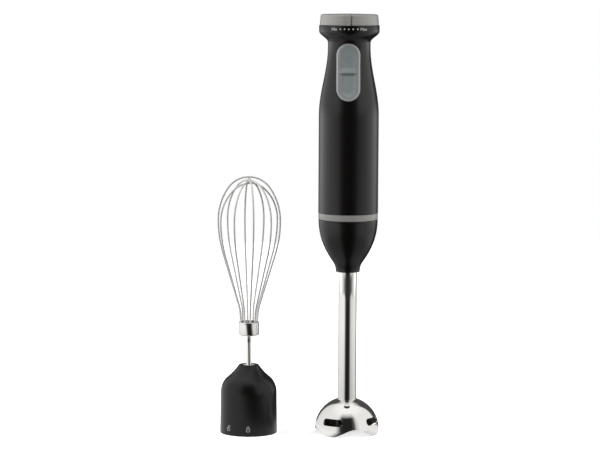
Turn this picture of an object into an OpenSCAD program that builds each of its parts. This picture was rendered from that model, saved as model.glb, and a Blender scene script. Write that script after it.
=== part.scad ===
// Immersion blender with a twist-on blade foot, and its whisk attachment standing beside it.
// Both stand on z = 0. The front, with the keys, faces -Y.

/* [Set] */
// Distance between the blender's axis and the whisk's axis
axis_gap = 93.8; // [75:0.1:140]

/* [Motor housing] */
// Outer diameter of the straight barrel
barrel_d = 56.7; // [55:0.1:62]
// Length of the straight barrel
barrel_l = 91.8; // [91:0.1:110]
// Length over which the barrel narrows to the neck
taper_l = 65; // [60:0.5:80]
// Outer diameter of the neck
neck_d = 40.2; // [38:0.1:44]
// Length of the straight neck under the flare
neck_l = 4; // [3:0.1:10]
// Wall of the two housing shells
wall = 2.2; // [1.8:0.1:2.4]
// Height of the grey ring under the barrel
ring_h = 6.4; // [5:0.1:8]
// Height of the S-curve that flares out to the scale collar
flare_h = 10.5; // [9:0.1:14]
// Height of the collar that carries the speed scale
collar_h = 5.5; // [4.5:0.1:8]
// Amount by which the scale collar is wider than the barrel
collar_step = 0.3; // [0:0.1:2]
// Radius of the four housing screw bosses
boss_r = 3.6; // [3.4:0.1:3.8]
// Distance of the screw bosses in from the barrel's sides
boss_in = 9; // [8.6:0.1:10.5]
// Shank diameter of a housing screw
screw_d = 2.9; // [2.2:0.1:3.2]
// Head diameter of a housing screw
screw_head_d = 5; // [4:0.1:5.4]
// Width of one cooling slot in the rear shell
vent_w = 22; // [12:0.5:30]
// Height of one cooling slot
vent_h = 1.8; // [1.2:0.1:2.4]
// Distance from one cooling slot to the next
vent_pitch = 4.2; // [3.6:0.1:5]
// Bore of the mains cord inlet
inlet_bore_d = 7.2; // [5:0.1:8.5]
// Outer diameter of the inlet's rubber gland
inlet_d = 13; // [12:0.1:15]
// Distance that the gland stands out from the neck
inlet_proud = 2; // [1:0.1:6]

/* [Speed dial] */
// Height of the dial
dial_h = 10.8; // [9:0.1:16]
// Amount by which the dial is narrower than the scale collar
dial_step = 0.6; // [0.2:0.1:2]
// Amount by which the dial's radius narrows towards the top
dial_draft = 0.5; // [0:0.1:1.5]
// Rounding of the dial's top edge
dial_round = 1.5; // [0.5:0.1:2.5]
// Wall of the dial
dial_wall = 2.2; // [1.4:0.1:3]
// Width of the pointer rib
pointer_w = 4.5; // [3:0.1:6]
// Distance that the pointer rib stands out
pointer_proud = 0.6; // [0.4:0.1:1.2]
// Diameter of the potentiometer's spindle
spindle_d = 6; // [4:0.1:7]

/* [Keys] */
// Width of the oval key frame
frame_w = 22.6; // [21:0.1:24]
// Height of the oval key frame
frame_h = 53.9; // [50:0.1:56]
// Distance from the top of the frame to the scale collar's flare
frame_drop = 0.6; // [0.5:0.1:3]
// Width of the frame's rim
frame_rim = 2; // [1.5:0.1:3]
// Height of the upper key's share of the oval
speed_key_h = 25.6; // [22:0.1:28]
// Distance that the keys are pressed in
key_travel = 2; // [1:0.1:2.5]
// Distance that the keys stand out from the frame
key_proud = 0.5; // [0.1:0.1:1]
// Thickness of a key
key_t = 3; // [2.4:0.1:3.4]

/* [Control parts] */
// Width of the control board
board_w = 26; // [24:0.1:28]
// Thickness of the control board
board_t = 1.6; // [1:0.1:2]
// Width of a micro switch
switch_w = 10; // [6:0.1:13]
// Height of a micro switch
switch_h = 12; // [8:0.1:16]
// Depth of a micro switch
switch_deep = 7; // [5:0.1:7.5]
// Diameter of the stem behind each key
key_stem_d = 5; // [3:0.1:6]
// Side of the square potentiometer
pot_w = 16; // [12:0.1:18]
// Height of the potentiometer
pot_h = 6; // [5:0.1:8]
// Width of the terminal block
terminal_w = 20; // [14:0.1:21]
// Height of the terminal block
terminal_h = 10; // [8:0.1:12]
// Depth of the terminal block
terminal_deep = 9; // [6:0.1:12]
// Diameter of a terminal's wire hole
terminal_hole_d = 3.2; // [2:0.1:4]
// Width of the suppressor capacitor
capacitor_w = 18; // [12:0.1:21]
// Height of the suppressor capacitor
capacitor_h = 14; // [10:0.1:20]
// Depth of the suppressor capacitor
capacitor_deep = 7; // [5:0.1:12]

/* [Motor] */
// Diameter of the motor shaft
shaft_d = 6; // [5:0.1:7]
// Outer diameter of the ball bearings
bearing_d = 19; // [17:0.1:20]
// Width of the ball bearings
bearing_w = 6; // [5:0.1:7]
// Depth of the stator from its rim to its bore
stator_deep = 10.8; // [10.4:0.1:11.4]
// Length of the lamination stack
stack_l = 25; // [22:0.1:27]
// Air gap between the armature and the stator, on the radius
air_gap = 0.5; // [0.3:0.05:1]
// Width of the stator's outer iron ring
yoke_w = 4.4; // [3.5:0.1:5]
// Thickness of the stator's pole shoes
pole_t = 1.8; // [1.4:0.1:2.2]
// Distance that the field coils stand out of the stack
coil_out = 4; // [3:0.1:5]
// Distance that the armature windings stand out of the stack
winding_out = 6; // [5:0.1:7]
// Number of slots in the armature
slots = 12; // [8:1:14]
// Diameter of the commutator
commutator_d = 19; // [17:0.1:21]
// Length of the commutator
commutator_l = 12; // [10:0.1:13]
// Distance from the cooling fan to the bracket round it
fan_gap = 2; // [1:0.1:4]
// Height of the cooling fan
fan_h = 7; // [5:0.1:7.5]
// Number of fan vanes
fan_vanes = 9; // [5:1:13]
// Width of a carbon brush
brush_w = 5; // [4:0.1:6]
// Distance from the brush holders to the housing
brush_gap = 2.3; // [2:0.1:4]

/* [Bayonet and drive coupling] */
// Amount by which the male spigot under the housing is narrower than the barrel
spigot_step = 8.5; // [8.2:0.1:10]
// Depth that the spigot reaches below the ring
spigot_l = 11.8; // [11:0.1:13]
// Radial play between the spigot and its sockets
spigot_play = 0.3; // [0.15:0.05:0.4]
// Distance that each bayonet lug stands out
lug_out = 1; // [0.7:0.05:1.1]
// Height of a bayonet lug
lug_h = 3; // [2:0.1:3.5]
// Angle that a lug covers
lug_angle = 20; // [12:1:28]
// Angle from locked to open
twist = 45; // [30:1:60]
// Width of the drive coupling's cross arms
cross_w = 3; // [2.5:0.1:4]
// Length of the drive coupling's cross
cross_l = 13; // [11:0.1:14]
// Play between the two halves of the coupling
cross_play = 0.4; // [0.2:0.05:0.6]
// Outer diameter of the driven coupling
cup_d = 20; // [18:0.1:22]

/* [Blade foot] */
// Height of the goblet that joins the tube to the housing
goblet_h = 50; // [48:0.1:60]
// Amount by which the goblet's top is narrower than the barrel
goblet_step = 0.5; // [0.2:0.1:1]
// Diameter of the goblet at its lower end
goblet_neck_d = 22.8; // [21:0.1:26]
// Wall of the goblet
goblet_wall = 2.4; // [1.8:0.1:2.8]
// Radius of the hollow curve where the goblet meets the tube
goblet_hollow_r = 16; // [12:0.1:16.4]
// Length of steel tube that shows
tube_l = 120.8; // [90:0.1:170]
// Diameter of the steel tube
tube_d = 17.3; // [16:0.1:19]
// Wall of the steel tube
tube_wall = 0.8; // [0.5:0.05:1.2]
// Diameter of the drive shaft in the tube
drive_d = 6; // [4:0.1:7]
// Radius of the blade guard's dome
dome_r = 30.7; // [29:0.1:34]
// Height of the dome's centre above the floor
dome_z = 3.3; // [3:0.1:5]
// Distance that the guard's rim stands out from the dome
rim_out = 0.2; // [0.2:0.1:1]
// Height of the guard's rim band
rim_h = 7; // [6:0.1:9]
// Wall of the blade guard
guard_wall = 1.2; // [0.8:0.05:1.6]
// Height of the four scallops in the rim
scallop_h = 7.5; // [5:0.1:8]
// Half width of a scallop at the floor
scallop_w = 16.3; // [12:0.1:18]
// Direction of the first scallop, from the front towards +X
scallop_angle = 15; // [0:1:44]
// Angle that each guard window covers
window_angle = 42; // [30:1:50]
// Height of a guard window
window_h = 6.6; // [4:0.1:7]
// Height of the middle of the windows
window_z = 13.5; // [13:0.1:15]
// Diameter of the bearing hub in the guard
hub_d = 17; // [15:0.1:19]
// Length of the bearing hub under the dome
hub_l = 15; // [13:0.1:16]
// Tip-to-tip length of the blade
blade_l = 40; // [30:0.5:44]
// Width of a blade wing
blade_w = 8; // [6:0.1:9]
// Thickness of the blade
blade_t = 1.2; // [0.8:0.1:1.6]
// Tilt of the cutting wings
blade_tilt = 12; // [0:1:16]

/* [Whisk attachment] */
// Diameter of the whisk holder at its open end
holder_d = 54.4; // [53:0.1:58]
// Amount by which the holder's radius narrows up to its shoulder
holder_draft = 0.5; // [0:0.1:1]
// Height of the holder's straight part
holder_h = 39; // [38.5:0.1:48]
// Radius of the holder's rounded shoulder
shoulder_r = 19; // [17:0.5:21]
// Radius of the hollow curve up to the holder's neck
hollow_r = 49; // [40:1:60]
// Steepest lean of the holder's shoulder
shoulder_angle = 51; // [48:1:54]
// Lean of the holder's outline at its neck
neck_angle = 33; // [28:1:38]
// Diameter of the whisk's stem
stem_d = 5.2; // [4:0.1:6]
// Length of stem that shows
stem_l = 28.3; // [20:0.1:50]
// Diameter of the chrome collar that holds the wires
whisk_collar_d = 19.2; // [18.8:0.1:22]
// Height of the chrome collar
whisk_collar_h = 12.9; // [11:0.1:20]
// Diameter of the whisk wire
wire_d = 1.4; // [1:0.05:1.45]
// Radius on which the wires leave the collar
wire_ring_r = 8.4; // [8.1:0.05:8.6]
// Number of wire loops
loops = 5; // [5:1:5]
// Angle of the first loop from the front
loop_angle = 9.2; // [0:0.1:36]
// Radius of the wire cage at its widest
cage_r = 30; // [27:0.1:34]
// Height of the cage's widest place above the collar
cage_wide = 97; // [92:0.5:112]
// Height of the cage's crown above its widest place
cage_crown = 42.2; // [36:0.1:50]
// Radius of the crown's curve
crown_r = 24.5; // [20:0.5:26]
// Lean of the straight stretch of the wires
flare_angle = 17; // [16.5:0.1:18]
// Radius of the bend just above the collar
bend_r = 50; // [35:1:60]

/* [Whisk gearbox] */
// Gear module
gear_m = 0.75; // [0.7:0.01:0.78]
// Teeth of the sun gear
sun_teeth = 12; // [12:6:12]
// Teeth of each planet gear
planet_teeth = 18; // [18:6:18]
// Width of the gears
gear_w = 12; // [9:0.1:14]
// Play between gear teeth
tooth_play = 0.12; // [0.08:0.01:0.16]
// Diameter of a planet's pin
pin_d = 4; // [3:0.1:5]
// Thickness of the gearbox cover
cover_t = 3; // [2:0.1:3.5]
// Thickness of the carrier plate
carrier_t = 4; // [3:0.1:5]

/* [Hidden] */
$fn = 72;

// Clearances
fit = 0.1;          // between pieces of one body that slide together
press = 0.02;       // between a shaft and what is pressed on it
run = 0.05;         // radial play of a turning shaft
gap = 0.3;          // between bodies that move past each other
over = 1;           // how far a cut runs past the face that it opens

// Radii
barrel_r = barrel_d / 2;
neck_r = neck_d / 2;
collar_r = (barrel_d + collar_step) / 2;
dial_r = collar_r - dial_step / 2;
inner_r = barrel_r - wall;
fill_r = inner_r - fit;
boss_x = barrel_r - boss_in;
spigot_r = (barrel_d - spigot_step) / 2;
socket_r = spigot_r + spigot_play;
groove_r = spigot_r + lug_out + spigot_play;
shaft_r = shaft_d / 2;
bearing_r = bearing_d / 2;
drive_r = drive_d / 2;
tube_r = tube_d / 2;
goblet_r = (barrel_d - goblet_step) / 2;
goblet_neck_r = goblet_neck_d / 2;
cup_r = cup_d / 2;
rim_r = dome_r + rim_out;
hub_r = hub_d / 2;

// Heights of the blender, from the floor up
guard_top = dome_z + dome_r;
z_goblet = guard_top + tube_l;
z_ring = z_goblet + goblet_h;
z_body = z_ring + ring_h;
z_taper = z_body + barrel_l;
z_neck = z_taper + taper_l;
z_flare = z_neck + neck_l;
z_seam = z_flare + 1.5;
z_collar = z_flare + flare_h;
z_dial = z_collar + collar_h;
z_top = z_dial + dial_h;

// Motor stack inside the barrel, from the flange up
flange_t = 3;
z_boss = z_body + flange_t + boss_r + 2 * fit;
bracket_t = 3;
z_bracket = z_boss + boss_r + 2 * fit;
bearing_lip = 3.5;
bearing_wall = 2.4;
race_share = 0.28;
race_step = 1;
shaft_hole = 2;
seal_wall = 5;
seal_drop = 2;
z_bearing = z_bracket + bearing_lip;
z_fan = z_bearing + bearing_w + 1;
z_stack = z_fan + fan_h + 1.3 + winding_out;
z_stack_top = z_stack + stack_l;
z_comm = z_stack_top + winding_out + 3;
z_bearing_2 = z_comm + commutator_l + 4;
z_bracket_2 = z_bearing_2 + bearing_w - bracket_t;
z_shaft_top = z_bearing_2 + bearing_w + 2;
z_boss_2 = z_bracket_2 + bracket_t + boss_r + 2 * fit;
fan_hub = 3;
fan_skin = 1.2;
stator_r = fill_r - 0.4;
stator_bore_r = stator_r - stator_deep;
armature_r = stator_bore_r - air_gap;
commutator_r = commutator_d / 2;
bracket_rim = 2.2;
fan_r = fill_r - bracket_rim - fan_gap;
brush_h = 6;
holder_skin = 1.5;
holder_off = 3;
holder_arm_w = 8;
brush_l = inner_r - commutator_r - brush_gap - 2 * holder_skin;
brush_z = z_comm + (commutator_l - brush_h) / 2;

// Keys, board and switches in the neck
z_frame_top = z_flare - frame_drop + 0.3;
z_frame = z_frame_top - frame_h;
z_split = z_frame_top - speed_key_h;
frame_proud = 0.2;
board_y = -3;
board_back = board_y + board_t;
rail_w = 2;
part_gap = 3;
z_board = z_boss_2 + boss_r + 1;
z_terminal = z_board + 2;
collar_plug_l = 3.5;
z_board_top = z_seam - collar_plug_l - 1;
z_speed_mid = (z_split + z_frame_top - frame_rim) / 2;
z_turbo_mid = (z_split + z_frame + frame_rim) / 2;
plate_t = 2.5;
z_plate = z_dial - plate_t - 1;
bushing_r = spindle_d / 2 + 1.2;
pot_floor = 2;
dial_hub = 3;
z_spindle = z_top - dial_wall - 1;
z_inlet = z_neck - 18;

// Bayonet: every height is a depth below the socket's mouth
lug_depth = 7;
groove_slack = 0.4;
slot_slack = 2;
seat_depth = spigot_l + 1.2;
cross_start = 3.2;
cross_hub = 1.4;
cross_end = 8.8;
cup_start = 1.8;
pocket_l = cross_end - cup_start + 1;
cup_floor = 4;

// Goblet and foot
z_boss_top = z_ring - seat_depth - 1;
bush_l = 10;
bush_wall = 3.4;
z_bush = z_ring - cup_start - pocket_l - cup_floor - fit - bush_l;
z_tube_top = z_bush - 1;
guard_neck_l = 3;
guard_neck_wall = 1.5;
z_tube_end = guard_top - guard_neck_l;
z_hub = z_tube_end - hub_l;
plug_l = 6;
seal_h = 3;
lower_bush_l = 8;
z_blade = window_z - 3.5;
nut_h = 3.4;
nut_d = 9;
short_wing = 6;
blade_hub = 1.5;

// Whisk attachment, from the floor up
holder_r = holder_d / 2;
shoulder_top_r = holder_r - holder_draft;
z_cover = seat_depth + 0.8;
z_gears = z_cover + cover_t + 1;
ring_teeth = sun_teeth + 2 * planet_teeth;
addendum = 0.9 * gear_m;
dedendum = 1.25 * gear_m;
inner_gear_r = gear_m * ring_teeth / 2 + dedendum;
gear_rim = 3.8;
gear_box_r = inner_gear_r + gear_rim;
planet_orbit = gear_m * (sun_teeth + planet_teeth) / 2;
z_ring_top = z_gears + gear_w + 1;
z_carrier = z_ring_top + gap;
carrier_r = planet_orbit + pin_d / 2 + 2.5;
carrier_room_r = carrier_r + 2;
z_room_top = z_carrier + carrier_t + gap;
sleeve_r = stem_d / 2 + 3.2;
bush_out_r = sleeve_r + run + 1.6;
shoulder_end = [
    shoulder_top_r - shoulder_r * (1 - cos(shoulder_angle)),
    holder_h + shoulder_r * sin(shoulder_angle)
];
z_holder_top = shoulder_end[1] + hollow_r * (sin(shoulder_angle) - sin(neck_angle));
socket_floor = 18;
z_whisk_collar = z_holder_top + stem_l;
z_wires = z_whisk_collar + whisk_collar_h;
wire_r = wire_d / 2;
wire_sunk = 8.5;

// Wire loops: upright end, bend, straight flare, side, then crown
z_bend = z_wires + 2.5;
z_flare_start = z_bend + bend_r * sin(flare_angle);
flare_start_r = wire_ring_r + bend_r * (1 - cos(flare_angle));
z_wide = z_wires + cage_wide;
z_side = (cage_r - flare_start_r + tan(flare_angle) * z_flare_start - tan(flare_angle / 2) * z_wide)
    / (tan(flare_angle) - tan(flare_angle / 2));
side_r = (z_wide - z_side) / sin(flare_angle);
loop_step = wire_d + fit;

// The set's middle, so that its box is centred on the origin
loop_reach = max([for (i = [0 : 2 * loops - 1]) cage_r * sin(loop_angle + 180 * i / loops)]) + wire_r;
whisk_reach = max(holder_r, loop_reach);
blender_x = (axis_gap + whisk_reach - rim_r) / 2;
whisk_x = blender_x - axis_gap;

function blend(a, b, t) = a + (b - a) * (1 - cos(180 * t)) / 2;
function arc(centre, r, from, to, steps) =
    [for (i = [0 : steps]) let (a = from + (to - from) * i / steps) centre + r * [cos(a), sin(a)]];
function reversed(v) = [for (i = [len(v) - 1 : -1 : 0]) v[i]];
function housing_r(z) =
    z < z_taper ? barrel_r
    : z < z_neck ? blend(barrel_r, neck_r, (z - z_taper) / taper_l)
    : z < z_flare ? neck_r
    : blend(neck_r, collar_r, min(1, (z - z_flare) / flare_h));

// Points up the outside of the housing, moved in by an inset
taper_steps = 12;
function housing_line(inset) = concat(
    [[barrel_r - inset, z_body]],
    [for (i = [0 : taper_steps]) let (z = z_taper + taper_l * i / taper_steps) [housing_r(z) - inset, z]],
    [for (z = [z_flare, z_seam]) [housing_r(z) - inset, z]]);

flare_steps = 8;
function flare_line(inset) = concat(
    [for (i = [0 : flare_steps]) let (z = z_seam + (z_collar - z_seam) * i / flare_steps)
        [housing_r(z) - inset, z]],
    [[collar_r - inset, z_dial]]);

module at_blender() translate([blender_x, 0, 0]) children();

module at_whisk() translate([whisk_x, 0, 0]) children();

module around(count) for (i = [0 : count - 1]) rotate([0, 0, 360 * i / count]) children();

module pipe(outer, inner, z0, z1) translate([0, 0, z0]) difference() {
    cylinder(r = outer, h = z1 - z0);
    translate([0, 0, -over]) cylinder(r = inner, h = z1 - z0 + 2 * over);
}

module rod(r, z0, z1) translate([0, 0, z0]) cylinder(r = r, h = z1 - z0);

module sector(inner, outer, from, to, z0, z1) rotate([0, 0, from]) rotate_extrude(angle = to - from)
    translate([inner, z0]) square([outer - inner, z1 - z0]);

module block(x0, x1, y0, y1, z0, z1) translate([x0, y0, z0]) cube([x1 - x0, y1 - y0, z1 - z0]);

// A rod that points along +Y
module rod_y(r, y0, y1) translate([0, y0, 0]) rotate([-90, 0, 0]) cylinder(r = r, h = y1 - y0);

module band(line_out, line_in) rotate_extrude() polygon(concat(line_out, reversed(line_in)));

module half_band(line_out, line_in) rotate_extrude(angle = 180)
    polygon(concat(line_out, reversed(line_in)));

// ---- Housing ----

module oval(w, h) {
    translate([-w / 2, w / 2]) square([w, h - w]);
    for (y = [w / 2, h - w / 2]) translate([0, y]) circle(d = w);
}

// The key oval as a prism from the axis to the front, made smaller all round by an inset
module oval_prism(inset) translate([0, 0, z_frame + inset]) rotate([90, 0, 0])
    linear_extrude(barrel_r + over) oval(frame_w - 2 * inset, frame_h - 2 * inset);

module boss_places() for (z = [z_boss, z_boss_2], x = [-boss_x, boss_x]) translate([x, 0, z]) children();

boss_end = sqrt(pow(inner_r, 2) - pow(boss_x, 2)) + wall / 2;
head_y = boss_end - 5;
screw_head_h = 2;

module bosses(y0, y1) intersection() {
    boss_places() rod_y(boss_r, y0, y1);
    rod(housing_r(z_boss_2 + boss_r) - wall / 2, z_body, z_neck);
}

// Two rails on the rear wall that the control board's back rests on
module board_rails() intersection() {
    for (m = [0, 1]) mirror([m, 0, 0])
        block(board_w / 2 - rail_w, board_w / 2, board_back, barrel_r, z_board, z_board_top);
    rotate_extrude() polygon(concat(housing_line(wall / 2), [[0, z_seam], [0, z_body]]));
}

module front_shell() color("#1b1c1e") at_blender() difference() {
    union() {
        rotate([0, 0, 180]) half_band(housing_line(0), housing_line(wall));
        bosses(-boss_end, 0);
    }
    oval_prism(-fit);
    boss_places() rod_y(screw_d / 2 + press, -head_y, over);
}

module rear_shell() color("#1b1c1e") at_blender() difference() {
    union() {
        half_band(housing_line(0), housing_line(wall));
        bosses(0, boss_end);
        board_rails();
    }
    boss_places() rod_y(screw_d / 2 + fit, -over, barrel_r);
    boss_places() rod_y(screw_head_d / 2 + fit, head_y, barrel_r + over);
    translate([0, 0, z_inlet]) rod_y(inlet_d / 2, 0, barrel_r);
    for (i = [0 : 3]) block(-vent_w / 2, vent_w / 2, 0, barrel_r + over,
        z_fan + i * vent_pitch, z_fan + i * vent_pitch + vent_h);
}

module dial_collar() color("#1b1c1e") at_blender() difference() {
    union() {
        band(flare_line(0), flare_line(wall));
        rod(collar_r - wall / 2, z_plate, z_plate + plate_t);
        pipe(neck_r - wall - fit, neck_r - 2 * wall, z_seam - collar_plug_l, z_seam + 1);
        pipe(neck_r - wall + 1, neck_r - 2 * wall + fit, z_seam, z_seam + 1);
    }
    rod(bushing_r + fit, z_plate - over, z_dial);
}

module decor_ring() color("#8e8e8c") at_blender() pipe(goblet_r + fit, spigot_r + fit, z_ring + gap, z_body);

module key_frame() color("#8e8e8c") at_blender() difference() {
    intersection() {
        band(housing_line(-frame_proud), housing_line(wall));
        oval_prism(0);
    }
    oval_prism(frame_rim);
}

module lug_ring(r0, r1, half, z0, z1) around(3) sector(r0, r1, -half, half, z0, z1);

module coupling_spigot() color("#1b1c1e") at_blender() difference() {
    union() {
        rod(spigot_r, z_ring - spigot_l, z_body + flange_t);
        rod(fill_r, z_body, z_body + flange_t);
        lug_ring(spigot_r - 1, spigot_r + lug_out, lug_angle / 2,
            z_ring - lug_depth - lug_h, z_ring - lug_depth);
    }
    rod(spigot_r - wall, z_ring - spigot_l - over, z_ring + cross_start);
    rod(shaft_r + seal_wall, z_body - seal_drop, z_body + flange_t + over);
    rod(shaft_r + shaft_hole, z_ring, z_body);
}

module motor_seal() color("#2a2a2a") at_blender()
    pipe(shaft_r + seal_wall - press, shaft_r + run, z_body - seal_drop, z_body + flange_t);

// ---- Motor ----

module lower_bracket() color("#3a3c3f") at_blender() difference() {
    union() {
        rod(fill_r, z_bracket, z_bracket + bracket_t);
        rod(bearing_r + bearing_wall, z_bracket, z_bearing + bearing_w);
        pipe(fill_r, fill_r - bracket_rim, z_bracket, z_stack);
    }
    rod(bearing_r + press, z_bearing, z_bearing + bearing_w + over);
    rod(shaft_r + shaft_hole, z_bracket - over, z_bearing + over);
    around(4) sector(fill_r - 2 * bracket_rim, fill_r + over, 20, 70, z_fan, z_fan + fan_h + 2);
}

module upper_bracket() color("#3a3c3f") at_blender() difference() {
    union() {
        rod(fill_r, z_bracket_2, z_bracket_2 + bracket_t);
        rod(bearing_r + bearing_wall, z_bearing_2 - 1, z_bearing_2 + bearing_w);
        for (a = [60, 240])
            sector(fill_r - bracket_rim, fill_r - fit, a, a + 60, z_stack_top, z_bracket_2 + over);
        for (m = [0, 180]) rotate([0, 0, m])
            block(commutator_r + holder_off + 1, fill_r - holder_off, -holder_arm_w / 2, holder_arm_w / 2,
                brush_z + brush_h + holder_skin, z_bracket_2 + over);
    }
    rod(bearing_r + press, z_bearing_2, z_bearing_2 + bearing_w + over);
    rod(shaft_r + shaft_hole, z_bearing_2 - 2 * over, z_bearing_2 + over);
    around(4) sector(bearing_r + 5, fill_r - 5, 30, 60, z_bracket_2 - over, z_bearing_2 + bearing_w);
}

// Half angles of the field poles and of the winding windows beside them
pole_half_angle = 66;
window_half_angle = 15;
coil_angle = pole_half_angle - window_half_angle - 3;
coil_half_angle = window_half_angle - 1;
window_in_r = stator_bore_r + pole_t;
window_out_r = stator_r - yoke_w;

module stator_core() color("#6b6d70") at_blender() difference() {
    pipe(stator_r, stator_bore_r, z_stack, z_stack_top);
    for (a = [90, 270], s = [-1, 1])
        sector(window_in_r, window_out_r, a + s * coil_angle - window_half_angle,
            a + s * coil_angle + window_half_angle, z_stack - over, z_stack_top + over);
    for (a = [90 + pole_half_angle, 270 + pole_half_angle])
        sector(stator_bore_r - over, window_in_r + press, a, a + 180 - 2 * pole_half_angle,
            z_stack - over, z_stack_top + over);
}

module field_coils() color("#b46a3c") at_blender() for (a = [90, 270]) {
    for (s = [-1, 1]) sector(window_in_r + fit, window_out_r - fit, a + s * coil_angle - coil_half_angle,
        a + s * coil_angle + coil_half_angle, z_stack - coil_out, z_stack_top + coil_out);
    for (z = [z_stack - coil_out + fit, z_stack_top + coil_gap])
        sector(window_in_r + 2 * fit, window_out_r - 2 * fit, a - coil_angle, a + coil_angle,
            z, z + coil_out - coil_gap - fit);
}

// Outer race, then the inner race with its ball ring, joined by a narrow web
module ball_bearing(z0) {
    race = (bearing_r - shaft_r) * race_share;
    pipe(bearing_r, bearing_r - race, z0, z0 + bearing_w);
    pipe(bearing_r - race - fit, shaft_r + run, z0 + race_step, z0 + bearing_w - race_step);
    pipe(bearing_r - race + fit, bearing_r - race - 2 * fit,
        z0 + 2 * race_step, z0 + bearing_w - 2 * race_step);
}

module motor_bearings() color("#b9bcc0") at_blender() for (z = [z_bearing, z_bearing_2]) ball_bearing(z);

module brush_holders() color("#a88a45") at_blender() for (m = [0, 180]) rotate([0, 0, m]) difference() {
    block(commutator_r + holder_off, commutator_r + brush_l + 2 * holder_skin, -brush_w / 2 - holder_skin,
        brush_w / 2 + holder_skin, brush_z - holder_skin, brush_z + brush_h + holder_skin);
    block(commutator_r, commutator_r + brush_l + holder_skin, -brush_w / 2 - fit, brush_w / 2 + fit,
        brush_z - fit, brush_z + brush_h + fit);
}

module carbon_brushes() color("#2b2b2d") at_blender() for (m = [0, 180]) rotate([0, 0, m]) difference() {
    block(0, commutator_r + brush_l, -brush_w / 2, brush_w / 2, brush_z, brush_z + brush_h);
    rod(commutator_r + fit, brush_z - over, brush_z + brush_h + over);
}

module motor_shaft() color("#c9ccd0") at_blender() rod(shaft_r, z_ring - cross_end + 2, z_shaft_top);

slot_r = armature_r - 3;
slot_hole_r = 1.9;
slot_width = 1.4;
coil_in_r = shaft_r + 1.5;
coil_gap = 0.5;
riser_out = 1.2;
riser_h = 2.8;
bar_gap = 0.5;

module armature_core() color("#6b6d70") at_blender() difference() {
    pipe(armature_r, shaft_r + press, z_stack, z_stack_top);
    around(slots) {
        translate([slot_r, 0, 0]) rod(slot_hole_r, z_stack - over, z_stack_top + over);
        block(slot_r, armature_r + over, -slot_width / 2, slot_width / 2, z_stack - over, z_stack_top + over);
    }
}

module armature_windings() color("#b46a3c") at_blender() {
    around(slots) translate([slot_r, 0, 0]) rod(slot_hole_r - fit, z_stack - over, z_stack_top + over);
    pipe(armature_r - 1, coil_in_r, z_stack - winding_out, z_stack - coil_gap);
    pipe(armature_r - 1, coil_in_r, z_stack_top + coil_gap, z_stack_top + winding_out);
}

module commutator() color("#c07a45") at_blender() difference() {
    union() {
        pipe(commutator_r, shaft_r + press, z_comm, z_comm + commutator_l);
        pipe(commutator_r + riser_out, shaft_r + press, z_comm - riser_h, z_comm);
    }
    around(slots) block(commutator_r - over, commutator_r + 2 * riser_out, -bar_gap / 2, bar_gap / 2,
        z_comm, z_comm + commutator_l + over);
}

module cooling_fan() color("#dcdcd6") at_blender() difference() {
    union() {
        rod(shaft_r + fan_hub, z_fan, z_fan + fan_h);
        rod(fan_r, z_fan, z_fan + fan_skin);
        around(fan_vanes) block(shaft_r + 1, fan_r - 0.5, -fan_skin / 2, fan_skin / 2, z_fan, z_fan + fan_h);
    }
    rod(shaft_r + press, z_fan - over, z_fan + fan_h + over);
}

module cross(extra, z0, z1) {
    for (a = [0, 90]) rotate([0, 0, a])
        block(-cross_l / 2 - extra, cross_l / 2 + extra, -cross_w / 2 - extra, cross_w / 2 + extra, z0, z1);
    rod(shaft_r + cross_hub + extra, z0, z1);
}

module drive_coupling() color("#dcdcd6") at_blender() difference() {
    cross(0, z_ring - cross_end, z_ring + cross_start - 1);
    rod(shaft_r + press, z_ring - cross_end + 2, z_ring + cross_start + over);
}

// ---- Controls ----

module control_board() color("#2f6b45") at_blender()
    block(-board_w / 2, board_w / 2, board_y, board_y + board_t, z_board, z_board_top);

module micro_switches() color("#33363a") at_blender() for (z = [z_speed_mid, z_turbo_mid])
    block(-switch_w / 2, switch_w / 2, board_y - switch_deep, board_y,
        z - switch_h / 2, z + switch_h / 2);

module potentiometer() color("#4a6fa5") at_blender() difference() {
    union() {
        block(-pot_w / 2, pot_w / 2, -pot_w / 2, pot_w / 2, z_plate - pot_h, z_plate);
        rod(bushing_r, z_plate - over, z_dial + 1);
    }
    rod(spindle_d / 2 + run, z_plate - pot_h + pot_floor, z_dial + 2);
}

module on_board(w, deep, z0, h) block(-w / 2, w / 2, board_back, board_back + deep, z0, z0 + h);

module terminal_block() color("#dcdcd6") at_blender() difference() {
    on_board(terminal_w, terminal_deep, z_terminal, terminal_h);
    for (x = [-terminal_w / 4, terminal_w / 4]) translate([x, 0, z_terminal + terminal_h / 2])
        rod_y(terminal_hole_d / 2, board_back + terminal_deep / 3, board_back + terminal_deep + over);
}

module suppressor_capacitor() color("#c9a227") at_blender()
    on_board(capacitor_w, capacitor_deep, z_terminal + terminal_h + part_gap, capacitor_h);

inlet_r = inlet_d / 2;
inlet_end = housing_r(z_inlet) + inlet_proud;
gland_start = housing_r(z_inlet) - 7;
gland_flange = 1.5;

module cord_gland() color("#2a2a2a") at_blender() translate([0, 0, z_inlet]) difference() {
    union() {
        rod_y(inlet_r - fit, gland_start, inlet_end);
        rod_y(inlet_r + 1, gland_start, gland_start + gland_flange);
    }
    rod_y(inlet_bore_d / 2, 0, inlet_end + over);
}

module housing_screws() color("#b9bcc0") at_blender() boss_places() {
    rod_y(screw_d / 2, 1 - head_y, head_y + fit);
    rod_y(screw_head_d / 2, head_y, head_y + screw_head_h);
}

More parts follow.
